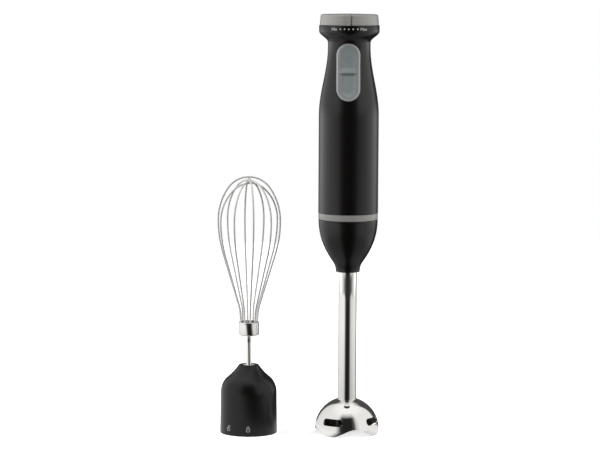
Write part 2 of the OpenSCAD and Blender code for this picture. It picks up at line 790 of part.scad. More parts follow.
module speed_dial() color("#8e8e8c") at_blender() difference() {
    dial_edge = dial_r - dial_draft;
    union() {
        rotate_extrude() polygon(concat(
            [[0, z_dial + gap], [dial_r, z_dial + gap]],
            arc([dial_edge - dial_round, z_top - dial_round], dial_round, 0, 90, 6),
            [[0, z_top]]));
        block(-pointer_w / 2, pointer_w / 2, -dial_r - pointer_proud, 0, z_dial + gap, z_top - dial_round);
    }
    difference() {
        rod(dial_r - dial_draft - dial_wall, z_dial, z_top - dial_wall);
        rod(spindle_d / 2 + dial_hub, z_dial + 2, z_top);
    }
    rod(spindle_d / 2 + press, z_dial, z_spindle + fit);
}

module dial_spindle() color("#c9ccd0") at_blender()
    rod(spindle_d / 2, z_plate - pot_h + pot_floor + fit, z_spindle);

module key_body(z0, z1, z_mid) {
    intersection() {
        band(housing_line(-frame_proud - key_proud), housing_line(key_t));
        oval_prism(frame_rim + gap);
        block(-barrel_r, barrel_r, -barrel_r - over, 0, z0, z1);
    }
    translate([0, 0, z_mid]) rod_y(key_stem_d / 2, -housing_r(z_mid) + key_t - 1,
        board_y - switch_deep - key_travel - gap);
}

module speed_key() color("#858583") at_blender() key_body(z_split + gap, z_frame_top, z_speed_mid);

module turbo_key() color("#858583") at_blender() key_body(z_frame, z_split - gap, z_turbo_mid);

// ---- Blade foot ----

// The female bayonet, cut downwards from a mouth at height 0
module bayonet_socket() {
    low = -lug_depth - lug_h - groove_slack;
    rod(socket_r, -seat_depth, over);
    around(3) {
        sector(socket_r - over, groove_r, -lug_angle / 2 - slot_slack, twist,
            low, -lug_depth + groove_slack);
        sector(socket_r - over, groove_r + fit, twist - lug_angle / 2 - slot_slack,
            twist + lug_angle / 2 + slot_slack, low - fit, over);
    }
}

// The goblet's outline: a full curve, a short straight slope, then a hollow curve to the tube
goblet_steps = 8;
goblet_tail = 0.4;
goblet_ease = 0.993;
goblet_fall = goblet_h - goblet_tail;
goblet_narrowing = goblet_r - goblet_neck_r;
curve_sum = goblet_ease * (pow(goblet_narrowing, 2) + pow(goblet_fall, 2)) / (2 * goblet_narrowing);
bulge_r = curve_sum - goblet_hollow_r;
centre_across = curve_sum - goblet_narrowing;
goblet_lean = atan2(goblet_fall, centre_across) - acos(curve_sum / norm([centre_across, goblet_fall]));
hollow_start_r = goblet_neck_r + goblet_hollow_r * (1 - cos(goblet_lean));
bulge_end = [goblet_r - bulge_r * (1 - cos(goblet_lean)), z_ring - bulge_r * sin(goblet_lean)];
hollow_start_z = bulge_end[1] - (bulge_end[0] - hollow_start_r) / tan(goblet_lean);
function goblet_line(inset) = concat(
    arc([goblet_r - bulge_r, z_ring], bulge_r - inset, 0, -goblet_lean, goblet_steps),
    arc([goblet_neck_r + goblet_hollow_r, hollow_start_z - goblet_hollow_r * sin(goblet_lean)],
        goblet_hollow_r + inset, 180 - goblet_lean, 180, goblet_steps),
    [[goblet_neck_r - inset, z_goblet]]);

module foot_goblet() color("#1b1c1e") at_blender() difference() {
    rotate_extrude() polygon(concat(goblet_line(0), [[0, z_goblet], [0, z_ring]]));
    translate([0, 0, z_ring]) bayonet_socket();
    difference() {
        intersection() {
            rotate_extrude() polygon(concat(goblet_line(goblet_wall), [[0, z_goblet], [0, z_ring]]));
            rod(socket_r - over, z_bush + 2, z_ring);
        }
        rod(cup_r + 2 + gap, z_bush - over, z_boss_top);
        around(6) block(0, socket_r, -1, 1, z_bush - over, z_ring - seat_depth - over);
    }
    rod(cup_r + gap, z_bush + bush_l, z_ring);
    rod(drive_r + bush_wall, z_bush, z_ring);
    rod(tube_r + press, z_goblet - over, z_tube_top);
    rod(drive_r + 1, z_goblet, z_ring);
}

module shaft_tube() color("#cfd2d5") at_blender()
    pipe(tube_r, tube_r - tube_wall, z_tube_end, z_tube_top);

module guard_outline(inset) {
    translate([0, 0, dome_z]) sphere(r = dome_r - inset, $fn = 96);
    rod(rim_r - inset, 0, rim_h);
}

module blade_guard() color("#cfd2d5") at_blender() difference() {
    union() {
        difference() {
            guard_outline(0);
            guard_outline(guard_wall);
            rod(rim_r + over, -dome_r, 0);
        }
        pipe(tube_r + guard_neck_wall, tube_r, z_tube_end, guard_top);
    }
    rod(tube_r + press, z_tube_end, guard_top + over);
    rod(drive_r + 2, guard_top - 2 * hub_l, guard_top + over);
    scallop_r = (pow(scallop_w, 2) + pow(scallop_h, 2)) / (2 * scallop_h);
    rotate([0, 0, scallop_angle]) around(4) translate([0, 0, scallop_h - scallop_r])
        rod_y(scallop_r, -rim_r - over, 0);
    end_angle = asin(window_h / 2 / dome_r);
    half = window_angle / 2 - end_angle;
    rotate([0, 0, scallop_angle - 90 + 45]) around(4) {
        sector(dome_r - 8, rim_r + over, -half, half, window_z - window_h / 2, window_z + window_h / 2);
        for (a = [-half, half]) rotate([0, 0, a + 90]) translate([0, 0, window_z])
            rod_y(window_h / 2, -rim_r - over, -dome_r + 8);
    }
}

module guard_hub() color("#1b1c1e") at_blender() difference() {
    union() {
        rod(hub_r, z_hub, z_tube_end);
        rod(tube_r - tube_wall - fit, z_hub, guard_top + plug_l);
    }
    rod(drive_r + bush_wall, z_hub - over, z_hub + seal_h + lower_bush_l);
    rod(drive_r + 1, z_hub, guard_top + plug_l + over);
}

module shaft_bushes() color("#a88a45") at_blender() {
    pipe(drive_r + bush_wall - press, drive_r + run, z_bush, z_bush + bush_l);
    pipe(drive_r + bush_wall - press, drive_r + run, z_hub + seal_h, z_hub + seal_h + lower_bush_l);
}

module foot_seal() color("#2a2a2a") at_blender()
    pipe(drive_r + bush_wall - press, drive_r + run, z_hub, z_hub + seal_h - press);

module drive_shaft() color("#c9ccd0") at_blender()
    rod(drive_r, z_blade - nut_h, z_ring - cup_start - pocket_l - 1);

module coupling_cup(shaft_end) difference() {
    rod(cup_r, -cup_start - pocket_l - cup_floor, -cup_start);
    cross(cross_play, -cup_start - pocket_l, 0);
    rod(drive_r + press, -cup_start - pocket_l - cup_floor - over, shaft_end);
}

module driven_coupling() color("#dcdcd6") at_blender() translate([0, 0, z_ring])
    coupling_cup(-cup_start - pocket_l - 1 + press);

// The wings start beside the nut, so that their tilt stays clear of it
module wing(length, tilt) rotate([tilt, 0, 0])
    block(nut_d / 2 + blade_hub / 3, length, -blade_w / 2, blade_w / 2, 0, blade_t);

module blade() color("#cfd2d5") at_blender() translate([0, 0, z_blade]) difference() {
    union() {
        rod(nut_d / 2 + blade_hub, -blade_t / 3, blade_t * 1.5);
        for (a = [0, 180]) rotate([0, 0, a]) wing(blade_l / 2, blade_tilt);
        for (a = [90, 270]) rotate([0, 0, a]) wing(blade_l / 2 - short_wing, -blade_tilt);
    }
    rod(drive_r + press, -blade_w, blade_w);
}

module blade_nut() color("#b9bcc0") at_blender() difference() {
    translate([0, 0, z_blade - nut_h]) cylinder(d = nut_d, h = nut_h - 0.5, $fn = 6);
    rod(drive_r + press, z_blade - nut_h - over, z_blade);
}

// ---- Whisk attachment ----

holder_steps = 9;
holder_line = concat(
    [[holder_r, 0], [shoulder_top_r, holder_h]],
    arc([shoulder_top_r - shoulder_r, holder_h], shoulder_r, 0, shoulder_angle, holder_steps),
    arc([shoulder_end[0] + hollow_r * cos(shoulder_angle), shoulder_end[1] + hollow_r * sin(shoulder_angle)],
        hollow_r, 180 + shoulder_angle, 180 + neck_angle, holder_steps));

module whisk_holder() color("#1b1c1e") at_whisk() difference() {
    rotate_extrude() polygon(concat(holder_line, [[0, z_holder_top], [0, 0]]));
    mirror([0, 0, 1]) bayonet_socket();
    rod(gear_box_r + fit, seat_depth - over, z_ring_top);
    rod(carrier_room_r, z_ring_top - over, z_room_top);
    rod(sleeve_r + 1, z_room_top - over, z_holder_top - bush_h);
    rod(bush_out_r + press, z_holder_top - bush_h, z_holder_top + over);
}

bush_h = 9;

module output_bush() color("#a88a45") at_whisk()
    pipe(bush_out_r, sleeve_r + run, z_holder_top - bush_h, z_holder_top);

// Gear outlines: an involute flank on a 25 degree pressure angle
pressure = 25;
flank_steps = 4;
function polar(r, a) = r * [cos(a), sin(a)];
function involute(a) = tan(a) * 180 / PI - a;
function tooth_half(r, teeth, play) = let (pitch_r = gear_m * teeth / 2)
    90 / teeth - play / pitch_r * 90 / PI
    + involute(pressure) - involute(acos(min(1, pitch_r * cos(pressure) / r)));
function gear_points(teeth, root, tip, play) =
    [for (i = [0 : teeth - 1], s = [-1, 1], k = [0 : flank_steps])
    let (t = s < 0 ? k / flank_steps : 1 - k / flank_steps, r = root + (tip - root) * t)
    polar(r, 360 * i / teeth + s * tooth_half(r, teeth, play))];

module spur_gear(teeth, bore_r) translate([0, 0, z_gears]) difference() {
    pitch_r = gear_m * teeth / 2;
    linear_extrude(gear_w) polygon(gear_points(teeth, pitch_r - dedendum, pitch_r + addendum, tooth_play));
    translate([0, 0, -over]) cylinder(r = bore_r, h = gear_w + 2 * over);
}

gearbox_screw_r = 1.2;
gearbox_screw_l = 6;
gearbox_screw_ring = inner_gear_r + gear_rim / 2;

module ring_gear() color("#dcdcd6") at_whisk() difference() {
    pitch_r = gear_m * ring_teeth / 2;
    rod(gear_box_r, z_gears - 1, z_ring_top);
    translate([0, 0, z_gears - 1 - over]) rotate([0, 0, 180 / ring_teeth])
        linear_extrude(gear_w + 2 + 2 * over)
        polygon(gear_points(ring_teeth, pitch_r - addendum, inner_gear_r, -tooth_play));
    around(3) translate([gearbox_screw_ring, 0, 0])
        rod(gearbox_screw_r + press, z_gears - 1 - over, z_gears + gearbox_screw_l + over);
}

module gearbox_cover() color("#3a3c3f") at_whisk() difference() {
    rod(gear_box_r, z_cover, z_cover + cover_t);
    rod(drive_r + run, z_cover - over, z_cover + cover_t + over);
    around(3) translate([gearbox_screw_ring, 0, 0])
        rod(gearbox_screw_r + fit, z_cover - over, z_cover + cover_t + over);
}

module gearbox_screws() color("#b9bcc0") at_whisk() around(3) translate([gearbox_screw_ring, 0, 0]) {
    rod(gearbox_screw_r, z_cover - press, z_gears + gearbox_screw_l);
    rod(gearbox_screw_r * 1.5, z_cover - 1, z_cover);
}

module whisk_input() color("#dcdcd6") at_whisk() {
    mirror([0, 0, 1]) difference() {
        rod(cup_r, -z_cover + gap, -cup_start);
        cross(cross_play, -cup_start - pocket_l, 0);
    }
    rod(drive_r, z_cover - gap - 1, z_gears - 0.4);
    rod(sun_shaft_r, z_gears - 1, z_gears + gear_w);
}

sun_shaft_r = 2;

module sun_gear() color("#c9ccd0") at_whisk() spur_gear(sun_teeth, sun_shaft_r + press);

module planet_carrier() color("#dcdcd6") at_whisk() difference() {
    union() {
        rod(carrier_r, z_carrier, z_carrier + carrier_t);
        rod(sleeve_r, z_carrier, z_holder_top - gap);
    }
    rod(stem_d / 2 + run, z_holder_top - socket_floor, z_holder_top);
    around(3) translate([planet_orbit, 0, 0]) rod(pin_d / 2 + press, z_carrier - over, z_carrier + carrier_t);
}

module planet_pins() color("#c9ccd0") at_whisk() around(3) translate([planet_orbit, 0, 0])
    rod(pin_d / 2, z_gears, z_carrier + carrier_t - press);

module planet(i) color("#dcdcd6") at_whisk() rotate([0, 0, 120 * i]) translate([planet_orbit, 0, 0])
    rotate([0, 0, 180 / planet_teeth]) spur_gear(planet_teeth, pin_d / 2 + run);

module planet_gear_1() planet(0);

module planet_gear_2() planet(1);

module planet_gear_3() planet(2);

module whisk_stem() color("#cfd2d5") at_whisk()
    rod(stem_d / 2, z_holder_top - socket_floor + gap, z_whisk_collar + 3);

module whisk_collar() color("#cfd2d5") at_whisk() difference() {
    rod(whisk_collar_d / 2, z_whisk_collar, z_wires);
    rod(stem_d / 2 + press, z_whisk_collar - over, z_whisk_collar + 3 + press);
    rotate([0, 0, loop_angle - 90]) around(2 * loops) translate([wire_ring_r, 0, 0])
        rod(wire_r + press, z_wires - wire_sunk - fit, z_wires + over);
}

// One wire loop's centre line, from one foot to the other, as [radius, height]
function half_loop(rise, side_crown_r, lean) = concat(
    [[wire_ring_r, z_wires - wire_sunk]],
    arc([wire_ring_r + bend_r, z_bend], bend_r, 180, 180 - flare_angle, 3),
    arc([cage_r - side_r, z_wide], side_r, -flare_angle, 0, 4),
    [for (p = arc([cage_r - side_crown_r, z_wide], side_crown_r, 0, lean, 5)) if (p[1] > z_wide) p]);
function loop_path(rise) = let (
    side_crown_r = (pow(cage_r, 2) + pow(rise - crown_r, 2) - pow(crown_r, 2))
        / (2 * (cage_r - crown_r)),
    lean = atan2(rise - crown_r, side_crown_r - cage_r),
    half = half_loop(rise, side_crown_r, lean),
    crown = arc([0, z_wide + rise - crown_r], crown_r, lean, 180 - lean, 12))
    concat(half, [for (i = [1 : len(crown) - 2]) crown[i]], [for (p = reversed(half)) [-p[0], p[1]]]);

// A round wire along a path in the XZ plane
wire_sides = 8;
module swept_wire(path) {
    last = len(path) - 1;
    function lean_at(i) = let (step = path[min(i + 1, last)] - path[max(i - 1, 0)]) atan2(step[1], step[0]);
    points = [for (i = [0 : last], k = [0 : wire_sides - 1]) let (a = 360 * k / wire_sides, t = lean_at(i))
        [path[i][0] - wire_r * cos(a) * sin(t), wire_r * sin(a), path[i][1] + wire_r * cos(a) * cos(t)]];
    walls = [for (i = [0 : last - 1], k = [0 : wire_sides - 1])
        let (n = (k + 1) % wire_sides, a = i * wire_sides, b = a + wire_sides)
        each [[a + k, a + n, b + n], [a + k, b + n, b + k]]];
    ends = [[for (k = [wire_sides - 1 : -1 : 0]) k], [for (k = [0 : wire_sides - 1]) last * wire_sides + k]];
    polyhedron(points = points, faces = concat(walls, ends));
}

// Loop i of the ring, whose crown crosses the others at the given level below the top
module wire_loop(i, level) at_whisk() rotate([0, 0, loop_angle - 90 + 180 * i / loops])
    swept_wire(loop_path(cage_crown - wire_r - level * loop_step));

module wire_loop_1() color("#cfd2d5") wire_loop(0, 1);

module wire_loop_2() color("#cfd2d5") wire_loop(2, 0);

module wire_loop_3() color("#cfd2d5") wire_loop(4, 3);

module wire_loop_4() color("#cfd2d5") wire_loop(1, 2);

module wire_loop_5() color("#cfd2d5") wire_loop(3, 4);

front_shell();
rear_shell();
dial_collar();
decor_ring();
coupling_spigot();
key_frame();
lower_bracket();
upper_bracket();
stator_core();
field_coils();
motor_bearings();
brush_holders();
carbon_brushes();
control_board();
micro_switches();
potentiometer();
terminal_block();
suppressor_capacitor();
cord_gland();
housing_screws();
motor_seal();
motor_shaft();
armature_core();
armature_windings();
commutator();
cooling_fan();
drive_coupling();
speed_dial();
dial_spindle();
speed_key();
turbo_key();
foot_goblet();
shaft_tube();
blade_guard();
guard_hub();
shaft_bushes();
foot_seal();
drive_shaft();
driven_coupling();
blade();
blade_nut();
whisk_holder();
output_bush();
ring_gear();
gearbox_cover();
gearbox_screws();
whisk_input();
sun_gear();
planet_carrier();
planet_pins();
planet_gear_1();
planet_gear_2();
planet_gear_3();
whisk_stem();
whisk_collar();
wire_loop_1();
wire_loop_2();
wire_loop_3();
wire_loop_4();
wire_loop_5();
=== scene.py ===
# %% [markdown]
# # A hand blender and its whisk
# The set is a stick blender standing on its steel bell, and its whisk attachment standing beside it on its
# black holder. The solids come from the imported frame. This script lays smooth surfaces over the ones that
# show, gives every piece its finish, and builds a small white studio round them.
# Lengths below are in millimetres, because that is how such a thing is drawn, and are turned into metres where
# a mesh is made.

# %% Load the frame
import math

import bmesh
import bpy
import numpy as np
from mathutils import Euler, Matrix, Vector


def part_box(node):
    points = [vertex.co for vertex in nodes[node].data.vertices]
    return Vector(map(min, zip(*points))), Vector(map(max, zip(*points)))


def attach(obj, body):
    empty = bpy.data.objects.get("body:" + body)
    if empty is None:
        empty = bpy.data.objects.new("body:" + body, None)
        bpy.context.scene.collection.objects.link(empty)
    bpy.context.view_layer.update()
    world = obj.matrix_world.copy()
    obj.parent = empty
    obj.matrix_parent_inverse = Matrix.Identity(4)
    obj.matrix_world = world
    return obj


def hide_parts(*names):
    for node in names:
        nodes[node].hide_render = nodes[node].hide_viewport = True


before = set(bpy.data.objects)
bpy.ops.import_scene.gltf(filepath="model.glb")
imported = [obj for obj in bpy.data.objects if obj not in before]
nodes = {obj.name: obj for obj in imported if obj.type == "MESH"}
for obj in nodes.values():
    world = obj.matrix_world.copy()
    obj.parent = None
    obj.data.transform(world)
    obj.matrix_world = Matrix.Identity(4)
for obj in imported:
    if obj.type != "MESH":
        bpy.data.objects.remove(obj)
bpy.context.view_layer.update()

plain = len(bpy.data.materials)
print("plain materials that come with them:", plain)

# %% [markdown]
# ## The places that everything else hangs on
# Two upright axes carry the whole set, one through the blender and one through the whisk. Both are read from
# the middle of a round solid, so they stay right if the solids move. The heights are the joints between the
# real mouldings, read from the solids too.


# %% Axes and heights
def low(node):
    """The lowest corner of a node's box, in mm."""
    return np.array(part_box(node)[0]) * 1000


def high(node):
    """The highest corner of a node's box, in mm."""
    return np.array(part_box(node)[1]) * 1000


def middle(node):
    """Halfway between the two corners."""
    return (low(node) + high(node)) / 2


def half_width(node):
    """Half the box's length along X, which is the radius of a round node."""
    return (high(node)[0] - low(node)[0]) / 2


bx = middle("shaft_tube")[0]
wx = middle("whisk_stem")[0]
z_ring, z_body = high("foot_goblet")[2], high("decor_ring")[2]
z_seam, z_dial = high("front_shell")[2], high("dial_collar")[2]
z_goblet = low("foot_goblet")[2]
z_top = high("speed_dial")[2]
z_frame, z_frame_top = low("key_frame")[2], high("key_frame")[2]
z_collar, z_wires = low("whisk_collar")[2], high("whisk_collar")[2]
barrel_r, collar_r = high("rear_shell")[1], half_width("dial_collar")
neck_r, wall = barrel_r - 8.25, 2.2
# Going up, the barrel narrows from z_taper to z_neck and widens again from z_flare to z_rim
z_taper, z_neck, z_flare, z_rim = z_body + 91.8, z_body + 156.8, z_body + 160.8, z_body + 171.3
print("blender axis %.1f, whisk axis %.1f, ring %.1f, top %.1f" % (bx, wx, z_ring, z_top))

# %% [markdown]
# ## Making a mesh from arrays
# A piece starts as an array of points and an array of faces. Points that fall on each other, as at a pole,
# are merged. A closed surface with its faces outwards has a positive volume, so the volume says whether the
# faces have to be turned round, and it is printed as a check on the piece.


# %% From arrays to a piece
def new_piece(name, points, faces, body, material, replaces=(), slot=None, sharp=35):
    """A closed mesh. Its volume is the sum over its triangles of a . (b x c) / 6."""
    mesh = bpy.data.meshes.new(name)
    mesh.from_pydata((np.asarray(points, float) * 0.001).tolist(), [], np.asarray(faces, int).tolist())
    mesh.validate()
    work = bmesh.new()
    work.from_mesh(mesh)
    bmesh.ops.remove_doubles(work, verts=work.verts, dist=2e-7)
    volume = work.calc_volume(signed=True)
    if volume < 0:
        bmesh.ops.reverse_faces(work, faces=work.faces)
    open_edges = sum(1 for e in work.edges if not e.is_manifold)
    work.to_mesh(mesh)
    work.free()
    mesh.polygons.foreach_set("use_smooth", np.ones(len(mesh.polygons), bool))
    mesh.set_sharp_from_angle(angle=math.radians(sharp))
    mesh.materials.append(material)
    piece = bpy.data.objects.new(name, mesh)
    bpy.context.scene.collection.objects.link(piece)
    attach(piece, body)
    if replaces:
        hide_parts(*replaces)
    print("%s: %d faces, %.2f cm3, %d open edges" % (name, len(mesh.polygons), abs(volume) * 1e6, open_edges))
    return piece


def grid_faces(rows, columns, wrap_rows=False, wrap_columns=False, start=0):
    """Four-sided faces of a grid whose point (i, j) has the number start + i * columns + j."""
    i, j = np.meshgrid(np.arange(rows if wrap_rows else rows - 1),
                       np.arange(columns if wrap_columns else columns - 1), indexing="ij")
    i2, j2 = (i + 1) % rows * columns, (j + 1) % columns
    i = i * columns
    return start + np.stack([i + j, i2 + j, i2 + j2, i + j2], -1).reshape(-1, 4)


print("faces of a grid of 3 by 4 points:", len(grid_faces(3, 4)))

# %% [markdown]
# ## Turned pieces
# Most of the set is round: barrel, ring, goblet, tube, dial, holder. On the real ones the mould or the lathe
# gives the shape, so here too a profile is turned about its axis. A sharp corner reflects nothing, and a
# real one never is sharp, so each corner of a profile is first eased with a short curve.


# %% Profiles and turning
def eased(profile, cut, steps=3, closed=True):
    """Each corner B becomes the curve (1-t)^2 A + 2t(1-t) B + t^2 C, where A and C lie on its two sides,
    cut mm away from it, or less where the side is short."""
    p = np.asarray(profile, float)
    cut = np.broadcast_to(np.asarray(cut, float), len(p)).copy()
    before, after = np.roll(p, 1, 0) - p, np.roll(p, -1, 0) - p
    if not closed:
        cut[0] = cut[-1] = 0
    length_before, length_after = np.linalg.norm(before, axis=1), np.linalg.norm(after, axis=1)
    a = p + before * (np.minimum(cut, length_before * 0.45) / np.maximum(length_before, 1e-9))[:, None]
    c = p + after * (np.minimum(cut, length_after * 0.45) / np.maximum(length_after, 1e-9))[:, None]
    t = np.linspace(0, 1, steps + 1)[None, :, None]
    curve = ((1 - t) ** 2 * a[:, None] + 2 * t * (1 - t) * p[:, None] + t ** 2 * c[:, None]).reshape(-1, 2)
    keep = np.linalg.norm(curve - np.roll(curve, 1, 0), axis=1) > 1e-4
    keep[0] = True
    return curve[keep]


def arc(centre, r, start, end, steps):
    """Points centre + r (cos a, sin a), with a in degrees from start to end."""
    a = np.radians(np.linspace(start, end, steps + 1))
    return np.stack([centre[0] + r * np.cos(a), centre[1] + r * np.sin(a)], -1)


def turned(profile, at, angles=None, closed=True):
    """Points (at + r sin a, -r cos a, z) for every profile point (r, z) and angle a, and their faces."""
    a = np.radians(np.arange(0, 360, 2.5) if angles is None else angles)[:, None]
    r, z = np.asarray(profile, float)[None, :, 0], np.asarray(profile, float)[None, :, 1]
    points = np.stack([at + r * np.sin(a), -r * np.cos(a), z + 0 * a], -1)
    return points.reshape(-1, 3), grid_faces(len(a), len(profile), True, closed)


def joined(*parts):
    """Points and rows of points one after another, as one row."""
    return np.concatenate([np.atleast_2d(np.asarray(p, float)) for p in parts])


print("points of a square with eased corners:", len(eased([(1, 0), (2, 0), (2, 1), (1, 1)], 0.2)))

# %% [markdown]
# ## Colours and a node at a time
# Paint charts give colours as sRGB codes, and the renderer wants them linear, so one function turns them.
# Each finish below is a small net of nodes built with one helper.


# %% Colour and node helpers
def linear(code):
    """sRGB code '#rrggbb' to linear: c / 12.92 below 0.04045, else ((c + 0.055) / 1.055) ^ 2.4."""
    c = np.array([int(code[i:i + 2], 16) for i in (1, 3, 5)]) / 255
    return (*np.where(c <= 0.04045, c / 12.92, ((c + 0.055) / 1.055) ** 2.4), 1.0)


def add(tree, kind, settings):
    """A new node of the kind, or a node that is there already, with its settings. A setting is named after a
    property or an input, or numbered as an input. Its value is set, or linked where it is another node's
    output."""
    node = tree.nodes.new(kind) if isinstance(kind, str) else kind
    for key, value in settings.items():
        if isinstance(value, bpy.types.NodeSocket):
            tree.links.new(node.inputs[key], value)
        elif isinstance(key, int) or key in node.inputs:
            node.inputs[key].default_value = value
        else:
            setattr(node, key, value)
    return node


def finish(name, colour, metallic, roughness, ior=1.5):
    """A material with its shader set to the plain values, ready for the nodes that give it its grain."""
    material = bpy.data.materials.new(name)
    material.use_nodes = True
    tree = material.node_tree
    shader = add(tree, tree.nodes["Principled BSDF"], {"Base Color": linear(colour), "Metallic": metallic,
                                                       "Roughness": roughness, "IOR": ior})
    return material, tree, shader, add(tree, "ShaderNodeTexCoord", {}).outputs["Object"]


print("half grey #808080 is %.3f in linear light" % linear("#808080")[0])

# %% [markdown]
# ## Moulded plastics
# The housing is ABS from a finely blasted steel mould. Such a skin is not a mirror: the pits are about a tenth
# of a millimetre apart and a few micrometres deep, and they spread a lamp into the soft bands that run down
# both sides of the barrel. The greys are the same ABS, filled with titanium white.


# %% The plastics
def moulded(name, colour, shade, roughness, ior, pit_mm=0.35, depth_mm=0.012):
    """ABS from a blasted mould. Noise with one cell per pit_mm gives the skin, drawn coarser than the real
    0.1 mm so that it shows, and a slow noise of 40 mm shifts tone and roughness, as where the melt cooled
    unevenly."""
    material, tree, shader, place = finish(name, colour, 0.0, roughness, ior)
    pits = add(tree, "ShaderNodeTexNoise", {"Scale": 1000 / pit_mm, "Detail": 2.0, "Vector": place})
    cloud = add(tree, "ShaderNodeTexNoise", {"Scale": 25.0, "Detail": 3.0, "Vector": place})
    bump = add(tree, "ShaderNodeBump", {"Strength": 0.35, "Distance": depth_mm / 1000, "Height": pits.outputs["Fac"]})
    tone = add(tree, "ShaderNodeMixRGB", {"Color1": linear(colour), "Color2": linear(shade),
                                          "Fac": cloud.outputs["Fac"]})
    rough = add(tree, "ShaderNodeMapRange", {"Value": cloud.outputs["Fac"], "To Min": roughness - 0.03,
                                             "To Max": roughness + 0.03})
    add(tree, shader, {"Normal": bump.outputs["Normal"], "Base Color": tone.outputs["Color"],
                       "Roughness": rough.outputs["Result"]})
    return material


# Semi-gloss black with a trace of violet: nearly black to the eye, with soft grey bands towards its edges
black_abs = moulded("black_abs_fine_blasted", "#0e0b0a", "#0b0908", 0.24, 1.5)
# Warm mid grey with a satin shine on the dial
grey_abs = moulded("grey_abs_satin", "#949390", "#8d8c89", 0.26, 1.5)
# The keys are a touch greener and duller, for the thumb
key_abs = moulded("grey_green_abs_keys", "#858c8d", "#7e8586", 0.36, 1.5)
# The band round the barrel's foot is the dial's grey ABS painted darker: painted shade for the lesser light low on
# the barrel
band_abs_painted_shade = moulded("grey_abs_band_painted_shade", "#888784", "#82817e", 0.26, 1.5)
# The rim round the keys is grey ABS without their green, painted lighter: painted light for what its rounded edge
# catches from the side lamps
rim_abs_painted_light = moulded("grey_abs_key_rim_painted_light", "#9c9f9e", "#949796", 0.32, 1.5)
# The whisk's holder is the same black from a coarser mould, which takes the edge off its shine
holder_abs = moulded("black_abs_coarse_blasted", "#0e0b0a", "#0b0908", 0.3, 1.4)
# Inner mouldings that nobody sees without a screwdriver, left as they come from the tool
dark_nylon = moulded("black_glass_filled_nylon", "#1f2022", "#191a1b", 0.55, 1.53, pit_mm=0.6)
white_acetal = moulded("white_acetal_gears", "#dcdad2", "#d3d1c8", 0.38, 1.48)
rubber = moulded("black_nitrile_rubber", "#18181a", "#141415", 0.62, 1.5, pit_mm=0.5)
# Inks dry dull: off-white for the scale and the padlocks, blue-grey for the ring on the key
ink = moulded("pad_printed_off_white_ink", "#c6c5c7", "#bcbbbd", 0.5, 1.45)
key_ink = moulded("pad_printed_blue_grey_ink", "#747c86", "#6f7781", 0.5, 1.45)
print("plastics, rubber and inks:", len(bpy.data.materials) - plain)

# %% [markdown]
# ## Steels
# Bell, tube, collar and whisk are stainless steel, polished until they mirror the room. What tells the eye
# that it is steel and not glass is the trace of the polishing wheel: hair-fine rings a few tenths of a
# millimetre apart, too shallow to blur the mirror but enough to make it tremble.


# %% The steels
def polished(name, colour, roughness, ring_mm=0.5, depth_mm=0.0002):
    """Stainless steel, its mirror tint in the base colour. Fine rings across Z, one per ring_mm, lift the
    surface by a fraction of a micrometre, and a slow noise moves the roughness by 0.02."""
    material, tree, shader, place = finish(name, colour, 1.0, roughness)
    stretched = add(tree, "ShaderNodeMapping", {"Vector": place, "Scale": (8.0, 8.0, 1000 / ring_mm)})
    rings = add(tree, "ShaderNodeTexNoise", {"Vector": stretched.outputs["Vector"], "Scale": 1.0, "Detail": 2.0})
    bump = add(tree, "ShaderNodeBump", {"Strength": 0.25, "Distance": depth_mm / 1000,
                                        "Height": rings.outputs["Fac"]})
    cloud = add(tree, "ShaderNodeTexNoise", {"Vector": place, "Scale": 60.0, "Detail": 2.0})
    rough = add(tree, "ShaderNodeMapRange", {"Value": cloud.outputs["Fac"], "To Min": max(roughness - 0.02, 0.01),
                                             "To Max": roughness + 0.02})
    add(tree, shader, {"Normal": bump.outputs["Normal"], "Roughness": rough.outputs["Result"]})
    return material


# Mirror steel takes nearly all of its look from the white room and the dark side behind the lens
mirror_steel = polished("stainless_steel_mirror_polished", "#e8e6e2", 0.05)
# Drawn spring wire is the same alloy, but the die and the wash after it leave it much duller
wire_steel = polished("stainless_spring_wire_drawn", "#f6f5f3", 0.6, ring_mm=2.0)
# The lathe leaves finer rings that catch the light, and the grinder finer ones still along the blade
turned_steel = polished("bright_steel_turned", "#b4b5b6", 0.22, ring_mm=0.3, depth_mm=0.002)
ground_steel = polished("stainless_steel_ground_blade", "#c9c9c8", 0.18, ring_mm=0.25, depth_mm=0.002)
print("steels:", ", ".join(steel.name for steel in (mirror_steel, wire_steel, turned_steel, ground_steel)))

# %% [markdown]
# ## The metals and fibres inside
# They are hidden in the assembled set and show only when it is taken apart: copper windings under clear
# lacquer, stacked lamination, sintered bronze, brush carbon, a green board. Each has the grain of how it
# is made, at its real spacing.


# %% The inner finishes
def two_toned(name, colour, second, metallic, roughness, kind, pattern, strength, depth_mm):
    """One pattern moves the base colour between two tones and lifts the surface by depth_mm."""
    material, tree, shader, place = finish(name, colour, metallic, roughness)
    value = add(tree, kind, {**pattern, "Vector": place}).outputs["Distance" if "Voronoi" in kind else "Fac"]
    tone = add(tree, "ShaderNodeMixRGB", {"Color1": linear(colour), "Color2": linear(second), "Fac": value})
    bump = add(tree, "ShaderNodeBump", {"Strength": strength, "Distance": depth_mm / 1000, "Height": value})
    add(tree, shader, {"Base Color": tone.outputs["Color"], "Normal": bump.outputs["Normal"]})
    return material


def striped(name, colour, second, spacing_mm, roughness):
    """Bands along Z, one every spacing_mm, as in a stack or a winding. Blender's wave texture makes
    20 Scale / (2 pi) bands a metre."""
    bands = {"bands_direction": "Z", "Scale": 1000 / spacing_mm * 2 * math.pi / 20, "Distortion": 0.4, "Detail": 1.0}
    return two_toned(name, colour, second, 1.0, roughness, "ShaderNodeTexWave", bands, 0.5, 0.05)


def speckled(name, colour, second, grain_mm, metallic, roughness):
    """Grains grain_mm across in two tones, as in pressed powder."""
    return two_toned(name, colour, second, metallic, roughness, "ShaderNodeTexVoronoi", {"Scale": 1000 / grain_mm},
                     0.4, 0.02)


